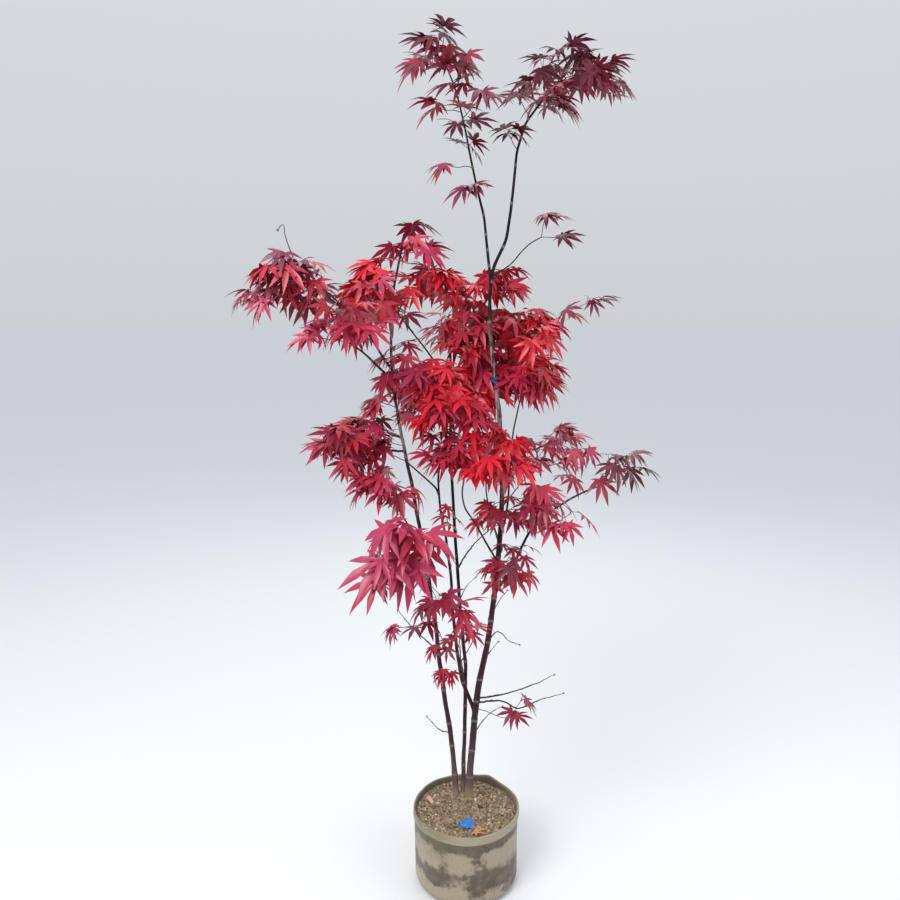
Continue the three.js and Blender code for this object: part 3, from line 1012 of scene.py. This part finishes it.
def bark_material(name, colours, pale_from, pale_to, dark_from):
    """Bark: rough and grey at the foot, plain above, mottled pale between two heights, and
    nearly black near the top; pale rings at the node scars."""
    skin = Finish(name, Specular_IOR_Level=0.25)
    height = skin.along(2)
    blotch = skin.noise(26.0, 4.0, 0.6, skin.place((1, 1, 0.35)))
    fine = skin.noise(420.0, 3.0, 0.6)
    streak = skin.noise(160.0, 3.0, 0.6, skin.place((1, 1, 0.12)))
    ring = skin.attribute("ring")
    foot = (height + blotch * 0.16).rise(0.52, 0.30)
    dark = (height + blotch * 0.10).rise(dark_from, dark_from + 0.12)
    mottle = (height.rise(pale_from - 0.06, pale_from + 0.05)
              * height.rise(pale_to + 0.06, pale_to - 0.05)
              * (blotch + streak * 0.35).rise(0.60, 0.74))
    base = skin.mix(streak.rise(0.35, 0.75) * 0.5, colours.bark, colours.bark_black)
    base = skin.mix(dark, base, colours.bark_black)
    base = skin.mix(foot * (0.45 + streak * 0.5), base, colours.bark_base)
    dusty = (height - streak * 0.04).rise(0.235, 0.185)
    base = skin.mix(dusty * 0.75, base, colours.dust)
    base = skin.mix(mottle * 0.85, base, colours.bark_pale)
    spots = skin.cells(330.0, skin.place((1, 1, 0.6))).rise(0.16, 0.10)
    base = skin.mix(spots * (1 - dark * 0.6) * 0.35, base, colours.bark_pale)
    base = skin.mix(ring * (0.25 + blotch * 0.9) * 0.6, base, colours.bark_pale)
    skin.set("Base Color", base)
    skin.set("Roughness", 0.48 + foot * 0.3 + dark * 0.25 + mottle * 0.2 + fine * 0.08)
    skin.bump(fine * 0.4 + streak * 0.6 + spots * 0.5, 0.0008, 0.6)
    return skin.material


def felt_material(colours):
    """Needled felt with water stains that run down from the cuff, a dark foot, and painted
    shade on the felt inside the rim.
    """
    felt = Finish("growing_bag_felt", Roughness=0.95, Sheen_Weight=0.25)
    height = felt.attribute("level")
    fibre = felt.noise(900.0, 4.0, 0.7)
    fleck = felt.noise(260.0, 4.0, 0.65)
    blotch = felt.noise(11.0, 5.0, 0.62, felt.place((1, 1, 0.9)))
    run = felt.noise(30.0, 5.0, 0.6, felt.place((1, 1, 0.16)))
    wet = felt.noise(55.0, 4.0, 0.6)
    below = 1 - felt.attribute("cuffed")
    under = height.rise(0.140, 0.180) * 0.24
    band = height.rise(0.035, 0.065) * height.rise(0.120, 0.085) * 0.10
    stain = (blotch * 0.70 + run * 0.16 + wet * 0.22 + under + band).rise(0.55, 0.66) * below
    foot = (height + blotch * 0.03).rise(0.040, 0.020)
    green = (felt.along(0).rise(-0.01, -0.09) * (blotch + fleck * 0.4).rise(0.55, 0.72)
             * height.rise(0.10, 0.16))
    base = felt.mix(fleck.rise(0.35, 0.70) * 0.4, colours.felt, srgb("857763"))
    base = felt.mix(stain * (0.50 + wet * 0.60), base, colours.felt_stain_and_shade)
    # The felt inside the rim, down to the soil, is darkened unevenly: painted shade in the gap
    # between felt and soil.
    base = felt.mix(felt.attribute("inside") * (0.35 + blotch * 0.7), base, colours.felt_stain_and_shade)
    base = felt.mix(foot * 0.45, base, colours.felt_stain_and_shade)
    base = felt.mix(green * 0.55, base, colours.moss)
    dots = felt.cells(75.0).rise(0.10, 0.05) * (wet.rise(0.50, 0.62))
    base = felt.mix(dots * 0.6, base, srgb("2c241d"))
    felt.set("Base Color", base)
    felt.bump(fibre * 0.6 + fleck * 0.8, 0.0012, 0.7)
    return felt.material


def soil_material(colours):
    """Damp mix of fine bark and grit, between and below the chips."""
    mixed = Finish("potting_mix", Roughness=0.95)
    grain = mixed.noise(520.0, 4.0, 0.7)
    patch = mixed.noise(38.0, 4.0, 0.6)
    base = mixed.mix(patch.rise(0.38, 0.64), colours.soil, colours.dust)
    base = mixed.mix(grain.rise(0.52, 0.68) * 0.6, base, srgb("2f241b"))
    mixed.set("Base Color", base)
    mixed.bump(grain, 0.0016, 0.8)
    return mixed.material


def root_material(colours):
    """The woody lump at the foot, coarse bark half hidden by dust."""
    wood = Finish("root_crown_bark", Roughness=0.85)
    grain = wood.noise(210.0, 5.0, 0.65, wood.place((1, 1, 0.35)))
    patch = wood.noise(60.0, 4.0, 0.6)
    base = wood.mix(patch.rise(0.30, 0.46), colours.bark_base, colours.dust)
    base = wood.mix(grain.rise(0.52, 0.66) * 0.35, base, colours.soil)
    wood.set("Base Color", base)
    wood.bump(grain, 0.002, 0.8)
    return wood.material


# ---------------------------------------------------------------- pieces


def node_scars(limb, gap, rng):
    """Distances along a limb of its pairs of bud scars, closer together on thin wood."""
    total = travelled(limb.middle)[-1]
    at, made = gap * rng.uniform(0.8, 1.1), []
    while at < total - 0.01:
        made.append(at)
        at += gap * rng.uniform(0.65, 1.3)
    return np.array(made or [total / 2])


THICK = 0.005  # a limb whose radius passes this gets finer bark


def limb_skin(limb, sizes, rng):
    """A limb's bark: rings along its middle line, swollen at the scars, ridged at the foot."""
    thick = limb.radius.max() > THICK
    around = 20 if thick else 12
    middle, radius = respaced(limb.middle, sizes.ring if thick else sizes.ring * 1.3, limb.radius)
    middle = smoothed(middle, 2)
    far = travelled(middle)
    side, other = rings(middle)
    scars = node_scars(limb, sizes.node_gap if thick else sizes.node_gap * 0.6, rng)
    gap = np.abs(far[:, None] - scars[None]).min(1)
    swell = np.exp(-(gap / 0.005) ** 2) * 0.09 + np.exp(-(gap / 0.0022) ** 2) * 0.05
    scar = np.exp(-(gap / 0.0030) ** 2)
    rooted = limb.name not in PARENT
    foot = np.exp(-far / 0.028) if rooted else np.exp(-far / 0.007) * 0.7
    seed = rng.uniform(0, 50)

    def place(across, round_):
        row = across * (len(middle) - 1)
        i = np.rint(row).astype(int)
        turn = round_ * math.tau
        ridge = ring_noise(turn, 1.4, far[i] * 26 + seed)
        fine = ring_noise(turn, 2.6, far[i] * 170 + seed)
        grown = 1 + swell[i] + ridge * (0.07 + 0.22 * foot[i]) + fine * 0.045
        grown += (0.35 * foot[i] if not rooted else 0.10 * foot[i])
        size = radius[i] * grown
        ring = side[i] * np.cos(turn)[:, None] + other[i] * np.sin(turn)[:, None]
        return middle[i] + ring * size[:, None]

    return wrapped(limb.name + "_bark", len(middle) - 1, around, place,
                   {"ring": lambda across, _: scar[np.rint(across * (len(middle) - 1)).astype(int)]})


class MAPLE_OT_bark(bpy.types.Operator):
    """Covers every stem and bough with bark that has node scars, ridges and a flared foot"""

    bl_idname = "maple.bark"
    bl_label = "Stems and boughs"

    def execute(self, context):
        sizes, colours = context.scene.maple_sizes, context.scene.maple_colours
        rng = np.random.default_rng(sizes.seed + 1)
        middle = bark_material("bark_middle", colours, 1.05, 1.42, 1.46)
        left = bark_material("bark_left", colours, 1.12, 1.46, 1.60)
        dark = bark_material("bark_back", colours, 1.60, 1.62, 0.75)
        young = bark_material("bark_young", colours, 2.5, 2.6, 1.50)
        finish = {"stem_middle": middle, "stem_left": left, "stem_back": dark,
                  "stem_inner": dark, "leader_left": young}
        for name, limb in LIMBS.items():
            slot = "dark_bark" if name in ("stem_back", "stem_inner") else "bark"
            piece = finished(name + "_bark", limb_skin(limb, sizes, rng),
                             [finish.get(name, young)])
            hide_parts(name)
        return {"FINISHED"}


class MAPLE_OT_crown(bpy.types.Operator):
    """Grows shoots from the limbs through every mass, and hangs leaves in pairs along them"""

    bl_idname = "maple.crown"
    bl_label = "Shoots and leaves"

    def execute(self, context):
        sizes, colours = context.scene.maple_sizes, context.scene.maple_colours
        wood, canopy = grow_canopy(sizes)
        add_bare_shoots(wood, np.random.default_rng(sizes.seed + 2), sizes)
        finished("shoots", wood.mesh("shoots"), [
            plain("young_shoot", colours.shoot, 0.5), plain("old_shoot", colours.shoot_dark, 0.55)])
        finished("leaf_stalks", canopy.stalks.mesh("leaf_stalks"),
                 [plain("leaf_stalk", colours.stalk, 0.5)])
        tints = leaf_materials(colours)
        for kind, leaves in canopy.leaves.items():
            piece = finished(f"leaves_{kind}", leaves.mesh(f"leaves_{kind}"), tints)
            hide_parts(*(name for name in MASSES if canopy.kind(name) == kind))
            print(piece.name, len(piece.data.polygons) // 40, "leaves")
        return {"FINISHED"}


def add_bare_shoots(wood, rng, sizes):
    """Bare shoots low on the stems, each thinning to a pair of pointed buds."""
    for name, height, bends in BARE_SHOOTS:
        limb = LIMBS[name]
        start = limb.middle[limb.at_height(height)]
        points = np.array([start, *(start + np.array(b) for b in bends)])
        fine = [points[0]]
        ways = headings(points)
        for a, b, out, arrive in zip(points, points[1:], ways, ways[1:]):
            fine += list(curve_between(a, b, out, arrive, FINE_STEP)[1:])
        fine = np.array(fine)
        fine[2:] += rng.normal(size=(len(fine) - 2, 3)) * 0.0005
        foot = 0.0011 + 0.006 * travelled(fine)[-1]
        taper = np.linspace(foot, sizes.shoot_tip * 0.9, len(fine))
        joints = rng.random(len(fine)) < 0.18
        wood.add(fine, np.where(joints, taper * 1.3, taper), int(foot > 0.0017))
        way = unit(fine[-1] - fine[-3])
        side = unit(np.cross(way, [0, 1.0, 0.3]))
        for hand in (-0.5, 0.5):
            bud = fine[-1] + np.outer(np.linspace(0, 0.006, 5), unit(way + hand * side))
            wood.add(bud, np.array([0.7, 1.25, 1.1, 0.7, 0.15]) * 0.001, 0)


class MAPLE_OT_bag(bpy.types.Operator):
    """Makes the felt growing bag, with its cuff, its soft folds and its stitching"""

    bl_idname = "maple.bag"
    bl_label = "Felt bag"

    def execute(self, context):
        sizes, colours = context.scene.maple_sizes, context.scene.maple_colours
        finish = felt_material(colours)
        piece = finished("growing_bag", bag_mesh(sizes), [finish])
        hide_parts("bag")
        thread = plain("thread", srgb("b9ab92"), 0.8)
        finished("bag_stitching", stitches(sizes), [thread])
        return {"FINISHED"}


FELT_IN = 0.0022  # how far the felt keeps inside the outer radius of its solid
FOLD_AT = 1.08  # where the deep fold stands, as an angle round the bag
SOIL_DIP = 0.008  # how much lower the soil is at the felt


def bag_sizes():
    """The bag's height and outer radius from its solid, and where the soil meets it."""
    low, high = (np.array(corner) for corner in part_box("bag"))
    soil_low, soil_high = (np.array(corner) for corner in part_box("soil"))
    return high[2], (high[0] - low[0]) / 2, soil_high[2], (soil_high[0] - soil_low[0]) / 2


def bag_fold(angle, height, top):
    """How far the felt stands out or in at an angle and height: soft folds, more at the top."""
    share = np.clip(height / top, 0, 1)
    broad = ring_noise(angle, 1.1, height * 5.0)
    small = ring_noise(angle, 4.0, height * 9.0 + 1, (7, 3))
    fold = 0.0030 * near_fold(angle, 0.13) * share ** 2
    return broad * 0.0030 * (0.25 + share) + small * 0.0011 * (0.3 + share) + fold


def near_fold(angle, width):
    """1 at the deep fold, falling to 0 on both sides of it."""
    return np.exp(-(np.angle(np.exp(1j * (angle - FOLD_AT))) / width) ** 2)


def rim_wave(angle, height, top):
    """How far the rim of the felt dips, as it stands unevenly, and its share at a height."""
    share = np.clip((height - 0.6 * top) / (0.4 * top), 0, 1)
    return ring_noise(angle, 1.6, np.full_like(angle, 4.0)) * 0.003 - 0.003, share


CUFF_ROW = 11  # the profile's point at the lower edge of the cuff
INSIDE_ROW = 19  # and the one where the rim turns down inside


def bag_mesh(sizes):
    top, radius, _, inner = bag_sizes()
    radius -= FELT_IN
    flat, bend, wall = 0.113, 0.022, radius - inner
    cuff = top - sizes.cuff
    turn = np.linspace(0, math.pi / 2, 9)
    rim = np.linspace(0, math.pi, 9)
    proud = sizes.cuff_proud
    profile = [(0.0, 0.0005)]
    profile += [(flat + bend * math.sin(t), bend * (1 - math.cos(t))) for t in turn]
    profile += [(radius - 0.001, cuff - 0.0012), (radius + proud * 0.7, cuff - 0.0006),
                (radius + proud, cuff + 0.0012)]
    half = (wall + proud) / 2
    profile += [(radius + proud - half + half * math.cos(t), top - half + half * math.sin(t))
                for t in rim]
    profile += [(inner + 0.0008, 0.150), (inner - 0.004, 0.020), (0.0, 0.016)]
    profile = np.array(profile)
    far = travelled(np.column_stack([profile, profile[:, 0] * 0]))

    def place(across, round_):
        # rows are spread evenly along the profile
        at = across * far[-1]
        out, up = np.interp(at, far, profile[:, 0]), np.interp(at, far, profile[:, 1])
        angle = round_ * math.tau
        ease = np.clip(up / 0.03, 0, 1) * np.clip(out / 0.08, 0, 1)
        out = out + bag_fold(angle, up, top) * ease
        wave, share = rim_wave(angle, up, top)
        up = up + (wave + 0.004 * near_fold(angle, 0.16)) * share
        return np.column_stack([out * np.cos(angle), out * np.sin(angle), up])

    def level(across, _):
        return np.interp(across * far[-1], far, profile[:, 1])

    def cuffed(across, _):
        return (across * far[-1] > far[CUFF_ROW]).astype(float)

    # How far into the felt inside the rim, which the felt's material darkens as painted shade.
    def inside(across, _):
        return np.clip((across * far[-1] - far[INSIDE_ROW]) / 0.006, 0, 1)

    return wrapped("growing_bag", 210, 150, place,
                   {"level": level, "cuffed": cuffed, "inside": inside})


def stitches(sizes):
    """Two rows of small stitches that hold the cuff down."""
    top, radius, _, _ = bag_sizes()
    thread = Tubes(5)
    pitch = 0.0075
    count = int(math.tau * radius / pitch)
    for row in (0.0045, 0.0085):
        for i in range(count):
            angle = np.linspace((i + 0.14) / count, (i + 0.86) / count, 5) * math.tau
            height = np.full(5, top - sizes.cuff + row)
            out = (radius - FELT_IN + sizes.cuff_proud + bag_fold(angle, height, top)
                   + np.array([-0.0006, 0.0001, 0.0003, 0.0001, -0.0006]))
            wave, share = rim_wave(angle, height, top)
            line = np.column_stack([out * np.cos(angle), out * np.sin(angle),
                                    height + wave * share])
            thread.add(line, 0.00042)
    return thread.mesh("bag_stitching")


def soil_height(x, y, top):
    """Height of the soil: a mound of dusty earth round the stems, lumpy, lower at the felt."""
    x, y = np.atleast_1d(x), np.atleast_1d(y)
    rise = top - SOIL_DIP * np.clip((np.hypot(x, y) - 0.05) / 0.085, 0, 1) ** 1.3
    centre, half = (ROOT[0] + ROOT[1]) / 2, (ROOT[1] - ROOT[0]) / 2
    away = ((x - centre[0]) / half[0]) ** 2 + ((y - centre[1] + 0.012) / half[1]) ** 2
    rise = rise + 0.015 * np.exp(-away * 0.8)
    lumps = bumps(np.column_stack([x, y, x * 0]), 38.0, 3) * 0.0022
    fine = bumps(np.column_stack([x, y, x * 0]), 150.0, 5) * 0.0011
    return rise + lumps + fine


class MAPLE_OT_soil(bpy.types.Operator):
    """Fills the bag with potting mix, chips of bark and pumice, and the root crown"""

    bl_idname = "maple.soil"
    bl_label = "Soil and root crown"

    def execute(self, context):
        sizes, colours = context.scene.maple_sizes, context.scene.maple_colours
        _, _, top, edge = bag_sizes()

        def place(across, round_):
            # seven tenths of the rows lie on the surface, the rest go down the side and back
            angle = round_ * math.tau
            back = np.where(across < 0.8, 1, (1 - across) / 0.2)
            out = np.where(across < 0.7, across / 0.7, back)
            fold = bag_fold(angle, np.full_like(angle, top), top + 0.014)
            out = out * (edge + fold * out ** 6)
            x, y = out * np.cos(angle), out * np.sin(angle)
            up = np.where(across <= 0.75, soil_height(x, y, top), top - SOIL_DIP - 0.03)
            return np.column_stack([x, y, up])

        piece = finished("soil_surface", wrapped("soil_surface", 100, 120, place),
                         [soil_material(colours)])
        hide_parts("soil")
        chips = chip_mesh(sizes, edge, top)
        tones = ["6b5a48", "88745c", "a08c72", "b9a88f", "cdc0ac", "463a2e"]
        finished("soil_chips", chips,
                 [plain(f"chip_{i}", srgb(tone), 0.9) for i, tone in enumerate(tones)], smooth=False)
        crown = finished("root_crown_wood", root_mesh(), [root_material(colours)])
        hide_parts("root_crown")
        return {"FINISHED"}


def chip_mesh(sizes, edge, top):
    """Chips of bark and pumice strewn over the soil, each a small jittered block."""
    rng = np.random.default_rng(sizes.seed + 3)
    corner = np.array([(x, y, z) for z in (-1, 1) for y in (-1, 1) for x in (-1, 1)], float)
    sides = np.array([(0, 2, 3, 1), (4, 5, 7, 6), (0, 1, 5, 4), (2, 6, 7, 3), (0, 4, 6, 2),
                      (1, 3, 7, 5)])
    points, faces, shades = [], [], []
    for i in range(sizes.chips):
        angle, out = rng.random() * math.tau, (edge - 0.006) * math.sqrt(rng.random())
        x, y = out * math.cos(angle), out * math.sin(angle)
        size = sizes.chip * rng.lognormal(-0.35, 0.45)
        flat = np.array([1.0, rng.uniform(0.45, 0.9), rng.uniform(0.2, 0.6)]) * size / 2
        block = corner * flat * rng.uniform(0.55, 1.1, (8, 3))
        yaw, tip, roll = rng.random() * math.tau, rng.normal() * 0.35, rng.normal() * 0.35
        cz, sz, cx, sx = math.cos(yaw), math.sin(yaw), math.cos(tip), math.sin(tip)
        cy, sy = math.cos(roll), math.sin(roll)
        turn = (np.array([[cz, -sz, 0], [sz, cz, 0], [0, 0, 1]])
                @ np.array([[1, 0, 0], [0, cx, -sx], [0, sx, cx]])
                @ np.array([[cy, 0, sy], [0, 1, 0], [-sy, 0, cy]]))
        up = soil_height(x, y, top)[0]
        points.append(block @ turn.T + (x, y, up + flat[2] * rng.uniform(-0.1, 0.9)))
        faces.append(sides + i * 8)
        pale = rng.random()
        shades += [int(np.searchsorted([0.26, 0.52, 0.74, 0.86, 0.92], pale))] * 6
    return joined("soil_chips", np.concatenate(points), np.concatenate(faces), shades)


def root_mesh():
    """The lump that the stems rise from: a ball pulled to its solid's box and gnarled."""
    middle, half = (ROOT[0] + ROOT[1]) / 2, (ROOT[1] - ROOT[0]) / 2
    bm = bmesh.new()
    bmesh.ops.create_icosphere(bm, subdivisions=5, radius=1.0)
    for vertex in bm.verts:
        way = vertex.co.normalized()
        gnarl = (noise.noise(way * 2.2) * 0.16 + noise.noise(way * 6.0) * 0.07
                 + noise.noise(way * 15.0) * 0.035)
        grown = way * (0.96 + gnarl)
        vertex.co = Vector(middle + np.array(grown) * half)
    return mesh_of(bm, "root_crown_wood")


class MAPLE_OT_litter(bpy.types.Operator):
    """Lays a dry curled leaf, a torn blue scrap and a pale chip on the soil, and ties a stem"""

    bl_idname = "maple.litter"
    bl_label = "Litter and tie"

    def execute(self, context):
        _, _, top, _ = bag_sizes()
        rng = np.random.default_rng(context.scene.maple_sizes.seed + 4)
        ground = soil_height(0.020, -0.099, top)[0]
        leaf = leaf_points(0.036, 5, rng, -0.30, 0.7)
        yaw = math.radians(-35)
        turn = np.array([[math.cos(yaw), math.sin(yaw), 0], [-math.sin(yaw), math.cos(yaw), 0],
                         [0, 0, 1]])
        leaf = leaf @ turn + (0.018, -0.099, ground + 0.0045)
        piece = finished("dry_leaf", joined("dry_leaf", leaf, LEAF_FACES[5]),
                         [plain("dry_leaf", srgb("c8935a"), 0.7)])
        thicken(piece, 0.0004)
        blue = plain("blue_film", srgb("2a78c8"), 0.35)
        scrap = finished("blue_scrap", scrap_mesh(top), [blue])
        thicken(scrap, 0.0004)
        shell = finished("pale_chip", pale_chip_mesh(top),
                         [plain("pale_chip", srgb("c9a594"), 0.7)])
        thicken(shell, 0.0008)
        finished("blue_tie", tie_mesh(), [blue])
        return {"FINISHED"}


def thicken(piece, thickness):
    solid = piece.modifiers.new("Thickness", "SOLIDIFY")
    solid.thickness = thickness
    solid.offset = 0.0


def scrap_mesh(top):
    """A torn piece of blue film, ragged on its edge and crumpled."""
    bm = bmesh.new()
    bmesh.ops.create_grid(bm, x_segments=22, y_segments=22, size=1.0)
    for vertex in bm.verts:
        x, y, _ = vertex.co
        turn, out = math.atan2(y, x), max(abs(x), abs(y))
        way = Vector((math.cos(turn), math.sin(turn), 0))
        torn = 0.80 + 0.38 * noise.noise(way * 1.7) + 0.26 * noise.noise(way * 6.0)
        x, y = way.x * out * torn * 0.025 + 0.003, way.y * out * torn * 0.021 - 0.074
        ground = soil_height(x, y, top)[0]
        fold = abs(noise.noise(Vector((x, y, 0)) * 95)) * 0.011
        vertex.co = (x, y, ground + 0.0045 + fold + 0.003 * (1 - out))
    return mesh_of(bm, "blue_scrap", closed=False)


def pale_chip_mesh(top):
    """A curled strip of pale bark."""
    bm = bmesh.new()
    bmesh.ops.create_grid(bm, x_segments=10, y_segments=8, size=0.5)
    middle = Vector((-0.097, 0.033, 0.0035))
    middle.z += soil_height(middle.x, middle.y, top)[0]
    for vertex in bm.verts:
        x, y, _ = vertex.co
        curl = y * 2.6
        narrow = 1 - 1.4 * x * x
        place = Vector((x * 0.034, math.sin(curl) * 0.006 * narrow,
                        (1 - math.cos(curl)) * 0.006 * narrow))
        vertex.co = middle + Vector((place.x * 0.44 + place.y * 0.9,
                                     place.y * 0.44 - place.x * 0.9, place.z))
    return mesh_of(bm, "pale_chip", closed=False)


def tie_mesh(height=1.327, width=0.006, off=0.0010):
    """A twist of blue film round the middle stem, with a short loose end."""
    limb = LIMBS["stem_middle"]
    i = limb.at_height(height)
    middle, radius = limb.middle[i], limb.radius[i] * 1.12 + off
    bm = bmesh.new()
    bmesh.ops.create_grid(bm, x_segments=40, y_segments=3, size=0.5)
    for vertex in bm.verts:
        share, across = vertex.co.x + 0.5, vertex.co.y
        angle = math.radians(200) + share * math.radians(430)
        loose = max(0.0, share - 0.85) / 0.15
        out = radius + 0.0008 * share + loose * 0.010
        vertex.co = (middle[0] + math.cos(angle) * out, middle[1] + math.sin(angle) * out,
                     middle[2] + across * width * (1 - 0.4 * loose) - loose * 0.008)
    bmesh.ops.solidify(bm, geom=bm.faces[:], thickness=0.0004)
    return mesh_of(bm, "blue_tie")


def paint_sky(tree):
    """An even pale sky that meets the floor without a line."""
    sky = tree.nodes["Background"]
    where = tree.nodes.new("ShaderNodeTexCoord")
    parts = tree.nodes.new("ShaderNodeSeparateXYZ")
    ramp = tree.nodes.new("ShaderNodeValToRGB")
    tree.links.new(where.outputs["Generated"], parts.inputs[0])
    tree.links.new(parts.outputs["Z"], ramp.inputs[0])
    tree.links.new(ramp.outputs["Color"], sky.inputs["Color"])
    low, high = ramp.color_ramp.elements
    low.position, low.color = 0.0, (0.74, 0.77, 0.80, 1.0)
    high.position, high.color = 0.6, (0.90, 0.94, 1.0, 1.0)
    sky.inputs["Strength"].default_value = 0.82


CAMERA_LENS = 31.2
CAMERA_SIDE = -0.043  # how far right of the bag's middle the camera stands, in metres
CAMERA_DIP = 9.58  # how far below level it looks, in degrees
LAMPS = {  # place, size and power
    "key": ((-1.6, -2.2, 3.4), 1.8, 95),
    "fill": ((2.4, -1.2, 2.4), 2.0, 20),
    "back": ((0.6, 2.6, 3.2), 2.4, 26),
}


class MAPLE_OT_stage(bpy.types.Operator):
    """Sets a plain pale floor, soft studio light and the camera"""

    bl_idname = "maple.stage"
    bl_label = "Floor, light and camera"

    def execute(self, context):
        sizes, colours = context.scene.maple_sizes, context.scene.maple_colours
        scene = context.scene
        bm = bmesh.new()
        bmesh.ops.create_circle(bm, cap_ends=True, segments=128, radius=400.0)
        floor = bpy.data.objects.new("studio_floor", mesh_of(bm, "studio_floor"))
        scene.collection.objects.link(floor)
        floor.data.materials.append(plain("studio_floor", colours.floor, 0.9))
        world = bpy.data.worlds.new("studio")
        world.use_nodes = True
        paint_sky(world.node_tree)
        scene.world = world
        scene.view_settings.view_transform = "Standard"
        for name, (place, size, power) in LAMPS.items():
            lamp = bpy.data.lights.new(name, "AREA")
            lamp.energy, lamp.size = power, size
            holder = bpy.data.objects.new(name, lamp)
            holder.location = place
            aim = Vector((0, 0, 1.1)) - Vector(place)
            holder.rotation_euler = aim.to_track_quat("-Z", "Y").to_euler()
            scene.collection.objects.link(holder)
        camera = bpy.data.cameras.new("camera")
        camera.lens, camera.sensor_width = CAMERA_LENS, 36.0
        holder = bpy.data.objects.new("camera", camera)
        holder.location = (CAMERA_SIDE, -sizes.eye_distance, sizes.eye_height)
        holder.rotation_euler = (math.radians(90 - CAMERA_DIP), 0, 0)
        scene.collection.objects.link(holder)
        scene.camera = holder
        return {"FINISHED"}


class MAPLE_PT_panel(bpy.types.Panel):
    """Lists the steps that make the tree"""

    bl_idname = "MAPLE_PT_panel"
    bl_label = "Potted maple"
    bl_space_type = "VIEW_3D"
    bl_region_type = "UI"
    bl_category = "Maple"

    def draw(self, context):
        for step in STEPS:
            self.layout.operator(step.bl_idname)
        for group in (context.scene.maple_sizes, context.scene.maple_colours):
            for name in group.__annotations__:
                self.layout.prop(group, name)


STEPS = [MAPLE_OT_stage, MAPLE_OT_bag, MAPLE_OT_soil, MAPLE_OT_litter, MAPLE_OT_bark, MAPLE_OT_crown]
CLASSES = [MapleSizes, MapleColours, *STEPS, MAPLE_PT_panel]


def register():
    for item in CLASSES:
        bpy.utils.register_class(item)
    bpy.types.Scene.maple_sizes = PointerProperty(type=MapleSizes)
    bpy.types.Scene.maple_colours = PointerProperty(type=MapleColours)


def unregister():
    del bpy.types.Scene.maple_colours
    del bpy.types.Scene.maple_sizes
    for item in reversed(CLASSES):
        bpy.utils.unregister_class(item)


def main():
    register()
    bpy.ops.maple.stage()
    bpy.ops.maple.bag()
    bpy.ops.maple.soil()
    bpy.ops.maple.litter()
    bpy.ops.maple.bark()
    bpy.ops.maple.crown()
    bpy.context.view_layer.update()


if __name__ == "__main__":
    main()
